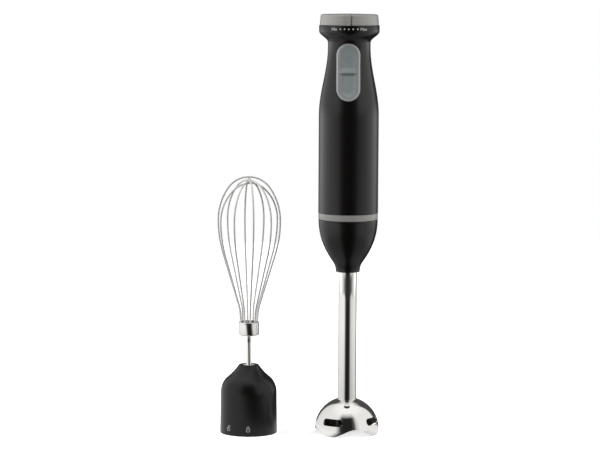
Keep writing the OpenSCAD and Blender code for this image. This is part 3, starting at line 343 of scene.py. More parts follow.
copper = striped("enamelled_copper_wire", "#b3653a", "#8a4526", 0.6, 0.3)
lamination = striped("electrical_steel_laminations", "#77797b", "#4e5052", 0.5, 0.42)
bronze = speckled("sintered_bronze", "#a5844a", "#7d6236", 0.4, 1.0, 0.4)
carbon = speckled("pressed_carbon", "#2c2c2e", "#1d1d1f", 0.3, 0.0, 0.6)
board = speckled("glass_epoxy_board", "#2c6a44", "#24583a", 0.8, 0.0, 0.35)
yellow_box = speckled("polyester_capacitor_box", "#c8a22a", "#b58f20", 0.9, 0.0, 0.45)
slot_finish = {"black_plastic": black_abs, "grey_plastic": grey_abs, "polished_steel": mirror_steel,
               "tool_steel": turned_steel, "lamination": lamination, "copper": copper, "bronze": bronze,
               "dark_plastic": dark_nylon, "white_plastic": white_acetal, "carbon": carbon, "board": board,
               "yellow_plastic": yellow_box, "rubber": rubber}
for piece in nodes.values():
    for place in piece.material_slots:
        place.material = slot_finish[place.material.name.split(".")[0]]
# Two solids differ from their slot's finish: the bush inside the whisk's holder, and the holder itself
nodes["output_bush"].material_slots[0].material = dark_nylon
nodes["whisk_holder"].material_slots[0].material = holder_abs
print("finishes in all:", len(bpy.data.materials) - plain)

# %% [markdown]
# ## The barrel's outline
# The housing is straight at the foot, narrows to the neck and widens again under the dial. One function gives
# its radius at each height: a constant, then a cosine down to the neck, and a cosine out again. The shells,
# the collar, the rim of the keys and the keys themselves all ask it, so they fit wherever they meet.


# %% Housing radius
def smooth(x):
    """3 x^2 - 2 x^3 between 0 and 1, level at both."""
    x = np.clip(x, 0, 1)
    return x * x * (3 - 2 * x)


def swing(a, b, t):
    """a + (b - a) (1 - cos pi t) / 2, from a at t = 0 to b at t = 1 with level ends."""
    return a + (b - a) * (1 - np.cos(np.pi * np.clip(t, 0, 1))) / 2


def housing_r(z):
    """The housing's radius at height z: down from barrel_r to neck_r, and from z_flare up to collar_r."""
    z = np.asarray(z, float)
    down = swing(barrel_r, neck_r, (z - z_taper) / (z_neck - z_taper))
    return np.where(z < z_flare, down, swing(neck_r, collar_r, (z - z_flare) / (z_rim - z_flare)))


print("housing radius at the foot, neck and rim:", [round(float(housing_r(z)), 1) for z in (z_body, z_neck, z_rim)])

# %% [markdown]
# ## A wall with holes in it
# Shells and bell are thin walls with holes. A hole is cut by leaving a patch out of the grid and filling it
# with rings that shrink from the patch's edge to the hole's outline, so the surface stays smooth right up to
# the cut, where a Boolean would tear it into slivers. Every hole here is a capsule: a circle, or two half
# circles joined by straights.


# %% The pierced wall
def lines(*stops):
    """Grid lines through every stop, with about the stated step in each stretch: lines(0, (10, 1), (20, 5))."""
    values = [np.array([stops[0]], float)]
    for end, step in stops[1:]:
        start = values[-1][-1]
        values.append(np.linspace(start, end, max(1, int(round(abs(end - start) / step))) + 1)[1:])
    return np.concatenate(values)


def pierced_wall(sheets, u, v, holes, around=False, rings=7):
    """Two sheets over the same grid, joined round the outside and round each hole.

    sheets: for the outer and the inner one (surface, drop, lift). surface(u, v) gives points, drop(points) the
    flat coordinates (p, q) that holes are drawn in, and lift(p, q) the point of the sheet over (p, q).
    holes: (u0, u1, v0, v1, p, q, half_p, half_q, r), the patch left out and the capsule round (p, q).
    A point b of the patch's edge goes to the capsule's nearest point: s + r (b - s) / |b - s|, with s the
    nearest point of the capsule's middle line."""
    nu, nv = len(u), len(v)
    grid_u, grid_v = np.meshgrid(u, v, indexing="ij")
    faces = grid_faces(nu, nv, wrap_rows=around)
    column, row = faces[:, 0] // nv, faces[:, 0] % nv
    loops, walls = [], []
    for u0, u1, v0, v1, *_ in holes:
        a, b, c, d = (int(np.argmin(np.abs(s - x))) for s, x in ((u, u0), (u, u1), (v, v0), (v, v1)))
        keep = ~((column >= a) & (column < b) & (row >= c) & (row < d))
        faces, column, row = faces[keep], column[keep], row[keep]
        i, j = np.arange(a, b), np.arange(c, d)
        loops.append(np.concatenate([i * nv + c, b * nv + j, np.arange(b, a, -1) * nv + d,
                                     a * nv + np.arange(d, c, -1)]))
    points = []
    for surface, drop, lift in sheets:
        sheet = [surface(grid_u, grid_v).reshape(-1, 3)]
        for loop, (*_, p, q, half_p, half_q, r) in zip(loops, holes):
            edge = drop(sheet[0][loop])
            spine = np.array([p, q]) + np.clip(edge - np.array([p, q]), [-half_p, -half_q], [half_p, half_q])
            away = edge - spine
            outline = spine + r * away / np.linalg.norm(away, axis=1, keepdims=True)
            t = np.linspace(0, 1, rings + 1)[1:, None, None] ** 0.8
            ring = edge[None] + (outline - edge)[None] * t
            sheet.append(lift(ring[..., 0].ravel(), ring[..., 1].ravel()))
        points.append(np.concatenate(sheet))
    size, start, ring_faces, last_rings = len(points[0]), nu * nv, [], []
    for loop in loops:
        n = len(loop)
        stack = np.concatenate([loop[None], start + np.arange(rings * n).reshape(rings, n)])
        k = np.arange(n)
        ring_faces += [np.stack([stack[m, k], stack[m, (k + 1) % n], stack[m + 1, (k + 1) % n], stack[m + 1, k]], -1)
                       for m in range(rings)]
        last_rings.append(stack[-1])
        start += rings * n
    one_side = np.concatenate([faces] + ring_faces)
    if around:
        edges = [np.arange(nu - 1, -1, -1) * nv, np.arange(nu) * nv + nv - 1]
    else:
        edges = [np.concatenate([np.arange(nv), np.arange(1, nu) * nv + nv - 1,
                                 (nu - 1) * nv + np.arange(nv - 2, -1, -1), np.arange(nu - 2, 0, -1) * nv])]
    for loop in edges:
        after = np.roll(loop, -1)
        walls.append(np.stack([loop, after, after + size, loop + size], -1))
    for loop in last_rings:
        after = np.roll(loop, -1)
        walls.append(np.stack([after, loop, loop + size, after + size], -1))
    return np.concatenate(points), np.concatenate([one_side, one_side[:, ::-1] + size] + walls)


def bevelled(piece, width, segments=2):
    """A Bevel modifier for the edges that a cut or a parting line leaves, width mm wide."""
    ease = piece.modifiers.new("eased_edges", "BEVEL")
    ease.width, ease.segments, ease.limit_method = width * 0.001, segments, "ANGLE"
    ease.angle_limit = math.radians(50)
    ease.harden_normals = True
    return piece


print("grid lines, one fine stretch and one coarse:", lines(0, (4, 1), (12, 4)).tolist())

# %% [markdown]
# ## The two shells
# The housing is two half shells, front and back, that meet in a plane through the axis and are screwed
# together from behind. The front one has the upright oval for the keys. The back one has four cooling slots,
# four screw wells and the hole for the cord's gland. Their cut edges get a small bevel, as a mould gives.


# %% The two shells
def shell_sheet(side, inset):
    """A half of the housing, side -1 for the front and +1 for the back: (bx + R sin a, side R cos a, z)."""
    def surface(a, z):
        r = housing_r(z) - inset
        return np.stack([bx + r * np.sin(np.radians(a)), side * r * np.cos(np.radians(a)), z], -1)

    def drop(points):
        return points[:, [0, 2]] - [bx, 0]

    def lift(p, q):
        return np.stack([bx + p, side * np.sqrt(np.maximum((housing_r(q) - inset) ** 2 - p ** 2, 0)), q], -1)
    return surface, drop, lift


# The oval's width, half its height and its middle
frame_w, frame_half, z_oval = 22.6, (z_frame_top - z_frame) / 2, (z_frame + z_frame_top) / 2
# The blender stands turned by a few degrees, which carries oval, keys and scale this far aside
aside = -1.1
oval = (-50, 50, z_frame - 3, z_seam - 1, aside, z_oval, 0, frame_half - frame_w / 2, frame_w / 2 + 0.1)
front = pierced_wall([shell_sheet(-1, 0), shell_sheet(-1, wall)], lines(-90, (-50, 4), (50, 2), (90, 4)),
                     lines(z_body, (z_taper, 5), (z_frame - 3, 1.8), (z_seam - 1, 1.2), (z_seam, 0.5)), [oval])
bevelled(new_piece("barrel_front", *front, "motor_unit", black_abs, ["front_shell"], "black_plastic"), 0.25)

vents = [(-35, 35, z - 2.1, z + 2.1, 0, z, 10.1, 0, 0.9) for z in z_body + 22 + 4.2 * np.arange(4)]
screws = [(s * 43 - 12, s * 43 + 12, z - 5, z + 5, s * 19.05, z, 0, 0, 2.6)
          for z in (z_body + 6.8, z_body + 95.2) for s in (-1, 1)]
print("vents at", [round(v[5], 1) for v in vents])
inlet = (-28, 28, z_body + 130, z_body + 148, 0, z_body + 138.8, 0, 0, 6.5)
back = pierced_wall([shell_sheet(1, 0), shell_sheet(1, wall)],
                    lines(-90, (-55, 5), (-35, 4), (-31, 2), (-28, 3), (28, 2.6), (31, 3), (35, 4), (55, 4), (90, 5)),
                    lines(z_body, (z_body + 1.8, 1), (z_body + 11.8, 1.4), (vents[0][2], 2), (vents[-1][3], 1.4),
                          (z_body + 90.2, 5), (z_body + 100.2, 1.4), (z_body + 130, 2), (z_body + 148, 1.6),
                          (z_seam, 1.6)),
                    vents + screws + [inlet])
bevelled(new_piece("barrel_back", *back, "motor_unit", black_abs, ["rear_shell"], "black_plastic"), 0.25)

# %% [markdown]
# ## Dial collar, ring and goblet
# Three turned mouldings continue the barrel's line: the collar that flares out under the dial, the grey
# band round the foot of the barrel, and the black goblet that narrows to the tube. The goblet is a long
# bulge, a short straight and a hollow, so its profile is two arcs with a line between them.

# %% The turned mouldings
up = np.linspace(z_seam, z_rim, 16)
collar = joined(np.stack([housing_r(up), up], -1), (collar_r, z_dial), (6, z_dial), (6, z_dial - 2),
                (collar_r - wall, z_dial - 2), (collar_r - wall, z_rim), (neck_r - wall + 0.6, z_seam))
new_piece("collar_under_dial", *turned(eased(collar, 0.3), bx), "motor_unit", black_abs, ["dial_collar"],
          "black_plastic")
ring_top, ring_low, ring_r = z_body - 0.05, z_ring + 0.3, half_width("decor_ring")
ring = [(ring_r, ring_low), (ring_r, ring_top), (24, ring_top), (24, ring_low)]
# The band wears the darker grey, which is painted shade for the foot of the barrel
new_piece("grey_band", *turned(eased(ring, 0.35), bx), "motor_unit", band_abs_painted_shade, ["decor_ring"], "grey_plastic")

# Two arcs of summed radius S, set in by the narrowing and apart by the fall, share a tangent of length
# sqrt((S - narrowing)^2 + fall^2 - S^2), and from the three sides follows its lean.
goblet_r, waist, hollow = half_width("foot_goblet"), 11.4, 16
narrowing, fall = goblet_r - waist, z_ring - z_goblet - 0.42
radii = 0.993 * (narrowing ** 2 + fall ** 2) / (2 * narrowing)
straight = math.sqrt((radii - narrowing) ** 2 + fall ** 2 - radii ** 2)
lean = math.degrees(math.atan2(fall, radii - narrowing) - math.atan2(straight, radii))
bulge = radii - hollow
print("goblet leans %.1f degrees, bulge radius %.1f" % (lean, bulge))
outer = arc((goblet_r - bulge, z_ring), bulge, 0, -lean, 26)
inner_arc = arc((waist + hollow, z_goblet + 0.42), hollow, 180 - lean, 180, 12)
goblet = joined(outer, inner_arc, (waist, z_goblet), (8.8, z_goblet), (8.8, z_goblet + 22), (22, z_ring - 4),
                (25.4, z_ring))
cuts = np.zeros(len(goblet))
cuts[[0, -1, -5, -4]] = 0.4
new_piece("goblet", *turned(eased(goblet, cuts), bx), "foot", black_abs, ["foot_goblet"], "black_plastic")

# %% [markdown]
# ## Steel tube
# The tube is drawn stainless pipe with a wall of one millimetre, so it is the simplest turned piece of all.

# %% Tube
z_tube_low, z_tube_top = low("shaft_tube")[2], high("shaft_tube")[2]
tube = [(8.65, z_tube_low), (8.65, z_tube_top), (7.6, z_tube_top), (7.6, z_tube_low)]
new_piece("steel_tube", *turned(eased(tube, 0.2), bx), "foot", mirror_steel, ["shaft_tube"], "polished_steel")

# %% [markdown]
# ## The bell
# The bell is a pressed steel dome with a skirt, four scallops in its rim and four windows for the food to
# leave by. Its wall is the pierced wall again, all the way round this time: the grid runs over the dome, and
# the rim of each sheet follows a cosine wave. Below z_clear the grid is squeezed down to that wave.

# %% Bell
rim_r, z_crown, pipe_r = half_width("blade_guard"), high("blade_guard")[2], 9.15
dome_r = rim_r - 0.2
dome_z, z_pipe = z_crown - dome_r, z_crown - 0.9
# Above z_clear the grid's rows are level. The dome meets the skirt at z_join. The first column is at -75 degrees,
# between two windows.
z_clear, z_join, first = 9.0, 8.0, -75
v_pipe = math.degrees(math.acos(pipe_r / dome_r))
clear_v = float(np.degrees(np.arcsin((z_clear - dome_z) / dome_r)))


def wave(a):
    """Four scallops of 7.5 mm in the rim, lowest at -30 degrees: 7.5 (1 - cos 4 (a + 30)) / 2."""
    return 7.5 * (1 - np.cos(np.radians(4 * (a + 30)))) / 2


def bell_sheet(inset):
    """One side of the bell. Above z_join it is the dome, r = sqrt(R^2 - (z - z_dome)^2), held at the pipe's
    radius at the top. Below, a parabola with the dome's slope at z_join meets the rim's radius at z = 0."""
    def radius(z):
        dome = np.sqrt(np.maximum((dome_r - inset) ** 2 - (z - dome_z) ** 2, 0))
        r_join = math.sqrt((dome_r - inset) ** 2 - (z_join - dome_z) ** 2)
        slope = (z_join - dome_z) / r_join
        bend = (slope * z_join - (rim_r - inset - r_join)) / z_join ** 2
        skirt = r_join + slope * (z_join - z) - bend * (z_join - z) ** 2
        return np.maximum(np.where(z < z_join, skirt, dome), pipe_r - (inset > 0) * 0.4)

    def surface(a, v):
        z = dome_z + dome_r * np.sin(np.radians(np.minimum(v, v_pipe)))
        z = z + np.maximum(v - v_pipe, 0) * (z_pipe - (dome_z + dome_r * np.sin(np.radians(v_pipe)))) / 4
        near_rim = wave(a) + (z_clear - wave(a)) * (v - v.min()) / (clear_v - v.min())
        z = np.where(v < clear_v, near_rim, z)
        r = radius(z)
        return np.stack([bx + r * np.sin(np.radians(a)), -r * np.cos(np.radians(a)), z], -1)

    def drop(points):
        a = np.degrees(np.arctan2(points[:, 0] - bx, -points[:, 1]))
        return np.stack([((a - first) % 360 + first) / 2, points[:, 2]], -1)

    def lift(p, q):
        r = radius(q)
        return np.stack([bx + r * np.sin(np.radians(2 * p)), -r * np.cos(np.radians(2 * p)), q], -1)
    return surface, drop, lift


around = lines(first, (-57, 3), (-3, 2), (33, 3), (87, 2), (123, 3), (177, 2), (213, 3), (267, 2), (285, 3))[:-1]
windows = [(a - 27, a + 27, clear_v, 28, a / 2, 13.5, 7.2, 0, 3.3) for a in (-30, 60, 150, 240)]
up = lines(-6.2, (clear_v, 1.2), (28, 2.3), (v_pipe, 2.5), (v_pipe + 4, 1.5))
bell = pierced_wall([bell_sheet(0), bell_sheet(1.2)], around, up, windows, around=True)
new_piece("bell", *bell, "foot", mirror_steel, ["blade_guard"], "polished_steel", sharp=40)

# %% [markdown]
# ## The blade
# Two long wings and two short ones are punched from one sheet and bent: the long wings fall a little and
# twist, so that they push the food down, and the short ones rise. Each wing is a strip whose section is
# carried outwards while it twists, ground thin at its leading edge.

# %% Wings and hub
z_blade = high("blade_nut")[2]


def wing(length, twist, climb, towards):
    """Section v from -1 to 1 across a chord of 11 mm that narrows to 7.5, u outwards from 3 mm to the tip. A
    point sits at chord v / 2 along the twisted chord, plus or minus half the thickness square to it."""
    u = np.linspace(3, length, 18)[:, None]
    v = np.linspace(-1, 1, 9)
    face = np.repeat([1, -1], len(v))[None]
    v = np.concatenate([v, v[::-1]])[None]
    thick = face * 0.6 * np.clip((1.05 - v) / 0.5, 0.12, 1)
    chord = (11 - 3.5 * (u / length) ** 3) / 2
    a = math.radians(twist) * smooth((u - 3) / 4)
    across, up = chord * v * np.cos(a) - thick * np.sin(a), chord * v * np.sin(a) + thick * np.cos(a)
    z = z_blade + up + 1.6 * smooth((u - 3) / 4) * np.sign(climb) + math.tan(math.radians(climb)) * (u - 3)
    t = math.radians(towards)
    x, y = u * math.cos(t) - across * math.sin(t), u * math.sin(t) + across * math.cos(t)
    shape = np.stack([bx + x, y, z], -1)
    ends = np.repeat(shape[[0, -1]].mean(1)[:, None], v.size, 1)
    shape = np.concatenate([ends[:1], shape, ends[1:]])
    return shape.reshape(-1, 3), grid_faces(len(shape), v.size, False, True)


parts = [wing(20.5, -38, -1, 0), wing(20.5, -38, -1, 180), wing(16, 16, 8, 90), wing(16, 16, 8, 270)]
disc = [(3.0, z_blade - 0.5), (5.6, z_blade - 0.5), (5.6, z_blade + 1.6), (3.0, z_blade + 1.6)]
parts.append(turned(eased(disc, 0.2), bx))
starts = np.cumsum([0] + [len(points) for points, _ in parts])
new_piece("blade_wings", np.concatenate([points for points, _ in parts]),
          np.concatenate([faces + start for (_, faces), start in zip(parts, starts)]), "blade_shaft", ground_steel,
          ["blade"], "polished_steel")

# %% [markdown]
# ## The dial
# The dial is a plain drum with a slight draft for the mould, an eased top edge, and one raised rib that
# points at the scale, with a groove along its right side that the eye reads as a dark line. Neither is a part
# stuck on: the drum's radius simply grows by 1.7 mm over a few degrees and shrinks by 1.4 mm over the next
# few, so drum, rib and groove are one skin, as in the moulding.

# %% Dial with its pointer
z_low = low("speed_dial")[2]
drum = joined((22, z_low), (27.9, z_low), (27.4, z_top - 4.4), (27.15, z_top - 1.7), (26.3, z_top - 0.45),
              (12, z_top), (0, z_top), (0, z_low + 6), (22, z_low + 6))
drum = np.roll(drum, -7, 0)
drum = eased(drum, [0, 0.3, 0.2, 0.4, 1.2, 1.0, 0.8, 3, 0], steps=4, closed=False)
angles = np.concatenate([np.linspace(-9, 9, 55), np.arange(12, 351, 3.0)])
points, faces = turned(drum, bx, angles, closed=False)
shape = points.reshape(len(angles), len(drum), 3)
# Middle and half width in degrees, and height in mm, of the rib and the groove
(rib_at, rib_half, rib_rise), (groove_at, groove_half, groove_fall) = (-2.9, 3.7, 1.7), (2.6, 1.8, 1.4)
rib = smooth(rib_half - np.abs(angles - rib_at))
groove = smooth((groove_half - np.abs(angles - groove_at)) / 0.8)
outside = np.clip((drum[:, 0] - 23) / 3.5, 0, 1)
rise = (rib_rise * rib - groove_fall * groove)[:, None] * outside[None]
shape[:, :, 0] += rise * np.sin(np.radians(angles))[:, None]
shape[:, :, 1] -= rise * np.cos(np.radians(angles))[:, None]
new_piece("dial_drum", shape.reshape(-1, 3), faces, "dial", grey_abs, ["speed_dial"], "grey_plastic", sharp=50)

# %% [markdown]
# ## The rim round the keys
# An upright oval is let into the front of the neck, and a grey rim frames it. The rim is a small section
# carried round the oval, following the barrel's curve in depth.


# %% Oval rim
def on_barrel(p, q, proud):
    """The point over (p, q), standing proud mm off the housing: y = -sqrt((R + proud)^2 - p^2)."""
    return np.stack([bx + p, -np.sqrt((housing_r(q) + proud) ** 2 - p ** 2), q + 0 * p], -1)


def oval_line(half_q, steps):
    """Closed capsule outline: half circles of radius 1 about (0, +-half_q), with straights between them."""
    top, under = arc((0, half_q), 1, 0, 180, steps), arc((0, -half_q), 1, 180, 360, steps)
    side = np.linspace(0, 1, steps + 1)[1:-1, None]
    return joined(top, top[-1] * (1 - side) + under[0] * side, under, under[-1] * (1 - side) + top[0] * side)


half_q = frame_half - frame_w / 2
section = eased([(11.28, -2.0), (11.28, -0.3), (10.9, 0.1), (10.2, 0.4), (9.5, 0.42), (9.2, 0.22), (9.2, -2.0)],
                [0.1, 0.25, 0.4, 0.5, 0.3, 0.15, 0.1])
outline = oval_line(half_q, 24)
spine = np.clip(outline, [0, -half_q], [0, half_q])
direction = outline - spine
p = spine[:, None, 0] + direction[:, None, 0] * section[None, :, 0]
q = z_oval + spine[:, None, 1] + direction[:, None, 1] * section[None, :, 0]
rim_points = on_barrel(p + aside, q, section[None, :, 1] + 0 * p)
# The rim wears the lighter grey, which is painted light for its rounded edge
new_piece("key_rim", rim_points.reshape(-1, 3), grid_faces(len(spine), len(section), True, True), "motor_unit",
          rim_abs_painted_light, ["key_frame"], "grey_plastic")

# %% [markdown]
# ## The two keys
# Speed above, turbo below, parted by a hair of gap. Each key is a dished pad for the thumb: rings shrink from
# its outline to its middle while the depth follows a formula. The ridge between the two dishes tells the
# thumb which key it is on.

# %% The keys
z_split, key_r = z_frame + 25.8, 9.12


def pad(p, q, upper):
    """How proud a key stands at (p, q). From the oval's edge it sinks 1.9 mm within 6 mm, but the upper key
    stays up along its lower edge, as the ridge that parts the two, and the lower one dips a little under it."""
    spine = z_oval + np.clip(q - z_oval, -half_q, half_q)
    sunk = smooth((key_r - np.hypot(p, q - spine)) / 6.0)
    ridge = 1 - smooth((q - z_split - 1.8) / 3.6) if upper else -0.45 * np.exp(-((z_split - q) / 2.6) ** 2)
    return 0.25 - 1.9 * sunk * (1 - ridge)


def key(name, upper, body, node):
    """Each ring is the key's outline drawn in to t times its size about the middle. The first two are the
    underside, 5 mm down, and the rest carry the dished face inwards, its edge rounded by 0.3 mm."""
    sign = 1 if upper else -1
    edge_q = z_split + 0.04 * sign
    curve = arc((0, z_oval + sign * half_q), key_r, 0 if upper else 180, 180 if upper else 360, 40)
    corners = np.array([(curve[-1][0], edge_q), (curve[0][0], edge_q)])
    side, base = np.linspace(0, 1, 15)[1:-1, None], np.linspace(0, 1, 25)[1:-1, None]
    outline = joined(curve, curve[-1] * (1 - side) + corners[0] * side, corners[0], corners[0] * (1 - base) +
                     corners[1] * base, corners[1], corners[1] * (1 - side) + curve[0] * side)
    outline = eased(outline, 0.3, steps=2)
    centre = np.array([0, (outline[:, 1].max() + outline[:, 1].min()) / 2])
    t = np.concatenate([[0, 1, 1], 1 - np.array([0.012, 0.03, 0.055]), np.linspace(0.92, 0, 20)])
    ring = centre + (outline - centre)[None] * t[:, None, None]
    proud = pad(ring[..., 0], ring[..., 1], upper)
    proud -= 0.3 * (1 - np.sqrt(1 - (1 - np.clip((1 - t) / 0.05, 0, 1)) ** 2))[:, None]
    proud[:2] = -5
    shape = on_barrel(ring[..., 0] + aside, ring[..., 1], proud)
    return new_piece(name, shape.reshape(-1, 3), grid_faces(len(t), len(outline), False, True), body, key_abs,
                     [node], "grey_plastic", sharp=60)


key("upper_key", True, "speed_key", "speed_key")
key("lower_key", False, "turbo_key", "turbo_key")

# %% [markdown]
# ## The whisk's stem and collar
# The black holder keeps its solid, which is turned already. Out of it comes a bright round stem that carries
# a turned collar, where the wires are held. Both are profiles about the whisk's axis.

# %% Stem and collar
stem_low = low("whisk_stem")[2]
stem = [(0, stem_low), (2.6, stem_low), (2.6, z_collar + 3), (0, z_collar + 3)]
new_piece("whisk_rod", *turned(eased(stem, [0, 0.4, 0.2, 0], closed=False), wx, closed=False), "whisk", mirror_steel,
          ["whisk_stem"], "polished_steel")
cap_r = half_width("whisk_collar")
cap = [(2.7, z_collar), (cap_r, z_collar), (cap_r, z_wires), (2.7, z_wires)]
new_piece("wire_collar", *turned(eased(cap, [0.1, 1.0, 1.0, 0.1], steps=5), wx), "whisk", mirror_steel,
          ["whisk_collar"], "polished_steel")

# %% [markdown]
# ## The wires
# Five loops of spring wire cross at the crown one over another. Each loop lies in a plane: it leaves the
# collar upright, bends out, runs straight, rounds the side and closes over the top in a tighter arc. The wire
# is a circle carried along that line.


# %% The wire loops
def loop_line(rise, cage=29.8, crown=24.5, leave=8.4, bend=50.0, flare=17.0):
    """Half a loop in (r, z) from arcs that share their tangents, then its mirror image."""
    z_bend, z_wide, lean = z_wires + 2.5, z_wires + 97, math.radians(flare)
    flare_r, flare_z = leave + bend * (1 - math.cos(lean)), z_bend + bend * math.sin(lean)
    slope, half_slope = math.tan(lean), math.tan(lean / 2)
    z_side = (cage - flare_r + slope * flare_z - half_slope * z_wide) / (slope - half_slope)
    side = (z_wide - z_side) / math.sin(lean)
    over = (cage ** 2 + (rise - crown) ** 2 - crown ** 2) / (2 * (cage - crown))
    top = math.degrees(math.atan2(rise - crown, over - cage))
    half = joined((leave, z_wires - 8.5), arc((leave + bend, z_bend), bend, 180, 180 - flare, 8),
                  arc((cage - side, z_wide), side, -flare, 0, 14), arc((cage - over, z_wide), over, 0, top, 10)[1:],
                  arc((0, z_wide + rise - crown), crown, top, 90, 16)[1:])
    return joined(half, half[-2::-1] * [-1, 1])


def wire_along(line, r, sides):
    """Circles of radius r square to the line. At both ends the circle shrinks to a point, which closes it."""
    along = np.gradient(line, axis=0)
    along /= np.linalg.norm(along, axis=1, keepdims=True)
    line, along = np.concatenate([line[:1], line, line[-1:]]), np.concatenate([along[:1], along, along[-1:]])
    r, a = np.full(len(line), r), np.radians(np.arange(0, 360, 360 / sides))
    r[[0, -1]] = 0
    out = r[:, None] * np.cos(a)
    y = r[:, None] * np.sin(a)
    return line[:, None, 0] - out * along[:, None, 1], y, line[:, None, 1] + out * along[:, None, 0]


# The crown's height over the widest place, the wire's radius, and how much lower each next wire crosses
crown_rise, wire_r, wire_step, sides = 42.2 - 0.9, 0.88, 1.5, 12
# Each wire's place round the axis, in steps of 36 degrees, and how many wires it passes under at the crown
for number, (step, level) in enumerate(((0, 1), (2, 0), (4, 3), (1, 2), (3, 4)), 1):
    x, y, z = wire_along(loop_line(crown_rise - wire_step * level), wire_r, sides)
    turn = math.radians(9.2 - 90 + 36 * step)
    shape = np.stack([wx + x * math.cos(turn) - y * math.sin(turn), x * math.sin(turn) + y * math.cos(turn), z], -1)
    new_piece("whisk_wire_%d" % number, shape.reshape(-1, 3), grid_faces(len(x), sides, False, True), "whisk",
              wire_steel, ["wire_loop_%d" % number], "polished_steel")

# %% [markdown]
# ## Printed marks
# The scale under the dial is pad printed: the two words Min and Max and five dots between them. Each stroke
# is a flat ribbon carried along its line and laid on the surface, a few hundredths of a millimetre thick,
# which is what pad printing leaves.


# %% Strokes on a surface
def printed(name, strokes, place, width, body, material, slot=None, thick=0.05):
    """Every stroke is a line of (p, q). Its ribbon reaches width / 2 to both sides, along the line's normal,
    and place(p, q, h) puts a point on the surface, h mm above it."""
    points, faces, start = [], [], 0
    for stroke in strokes:
        stroke = np.asarray(stroke, float)
        along = np.gradient(stroke, axis=0)
        side = np.stack([-along[:, 1], along[:, 0]], -1)
        side /= np.linalg.norm(side, axis=1, keepdims=True)
        left, right = stroke + side * width / 2, stroke - side * width / 2
        section = [place(*left.T, thick), place(*right.T, thick), place(*right.T, -0.1), place(*left.T, -0.1)]
        points.append(np.stack(section, 1).reshape(-1, 3))
        quads = grid_faces(len(stroke), 4, False, True, start)
        last = start + 4 * (len(stroke) - 1)
        faces += [quads, [[start, start + 1, start + 2, start + 3]], [[last + 3, last + 2, last + 1, last]]]
        start += 4 * len(stroke)
    return new_piece(name, np.concatenate(points), np.concatenate(faces), body, material, (), slot)


def on_cylinder(at, r, a0, z0):
    """(p, q) wrapped round: the angle is a0 plus p / r, the height z0 + q."""
    def place(p, q, h):
        a = math.radians(a0) + p / r
        return np.stack([at + (r + h) * np.sin(a), -(r + h) * np.cos(a), z0 + q], -1)
    return place


def rod(x0, y0, x1, y1, n=4):
    """A straight stroke: n points evenly from (x0, y0) to (x1, y1)."""
    return np.stack([np.linspace(x0, x1, n), np.linspace(y0, y1, n)], -1)


# A plain sans, its capitals 1 high: each letter's width with the space after it, and its strokes
letters = {
    "M": (1.05, [rod(0, 0, 0, 1), rod(0, 1, 0.4, 0.3), rod(0.4, 0.3, 0.8, 1), rod(0.8, 1, 0.8, 0)]),
    "i": (0.28, [rod(0, 0, 0, 0.62), rod(0, 0.86, 0, 1)]),
    "n": (0.68, [rod(0, 0, 0, 0.62), joined(arc((0.22, 0.38), 0.22, 180, 0, 8), (0.44, 0))]),
    "a": (0.74, [arc((0.24, 0.28), 0.26, 0, 360, 16), rod(0.5, 0, 0.5, 0.58)]),
    "x": (0.5, [rod(0, 0, 0.42, 0.62), rod(0, 0.62, 0.42, 0)])}


def word(text, middle_x, size):
    """Letters size mm high set side by side, each after the widths of those before it, centred on middle_x."""
    strokes, x = [], 0.0
    for width, drawn in (letters[kind] for kind in text):
        strokes += [stroke * size + [x, 0] for stroke in drawn]
        x += width * size
    shift = np.array([middle_x - (x - 0.2 * size) / 2, -size / 2])
    return [stroke + shift for stroke in strokes]


scale = on_cylinder(bx, collar_r, math.degrees(aside / collar_r), z_rim + 2.55)
dots = [arc((x, 0), 0.36, 0, 360, 10) for x in (-8.0, -3.95, 0, 4.1, 8.5)]
printed("scale_words", word("Min", -14.2, 2.9) + word("Max", 14.4, 2.9), scale, 0.33, "motor_unit", ink)
printed("scale_dots", dots, scale, 0.72, "motor_unit", ink)

# %% [markdown]
# ## Two padlocks and a ring
# The holder clips on by a short turn, so two small padlocks, one open and one shut, mark its two places. The
# upper key carries a faint ring with three blades. All are printed lines, as the scale is.


# %% Padlocks on the holder, ring on the key
def padlock(lift, size=1.2):
    """A square body under a shackle of radius 0.85, which is moved aside and up by lift when open."""
    body = np.array([(-1.3, -2.3), (1.3, -2.3), (1.3, 0.1), (-1.3, 0.1), (-1.3, -2.3)])
    hoop = joined((-0.85, 0.1), (-0.85, 0.9), arc((0, 0.9), 0.85, 180, 0, 8), (0.85, 0.1 + lift))
    return [body * size, (hoop + [lift * 1.2, 0]) * size, rod(0, -1.5, 0, -0.7)]


z_padlocks, holder_r = 7.6, half_width("whisk_holder") - 0.05
for name, lift, at in (("padlock_shut", 0.0, 0), ("padlock_open", 0.6, -43)):
    printed(name, padlock(lift), on_cylinder(wx, holder_r, at, z_padlocks), 0.42, "whisk_holder", ink)

z_mark = z_frame + 0.715 * (z_frame_top - z_frame)


def on_pad(p, q, h):
    """(p, q) about the mark's middle, laid on the dished face of the upper key, h mm above it."""
    return on_barrel(p + aside, z_mark + q, pad(p, z_mark + q, True) + h)


# A blade is an arc of 120 degrees about a point 1.35 mm from the middle
blades = [joined(arc((1.35 * math.cos(a), 1.35 * math.sin(a)), 1.3, math.degrees(a) + 180, math.degrees(a) + 300, 8))
          for a in np.radians([90, 210, 330])]
printed("key_mark", [arc((0, 0), 3.5, 0, 360, 40)] + blades, on_pad, 0.55, "speed_key", key_ink)

# %% [markdown]
# ## The room's light
# The set stands in a white room. The room is bright at both sides, brighter on the left, and dark round the
# lens, where the camera and its maker stand. That is what makes the black barrel read as round, light at its
# edges and dark down the middle, and puts one dark stripe down the steel tube. The world carries this room as
# a function of direction: one ramp round the compass for the walls, one for what hangs low, and one grey for
# the ceiling.


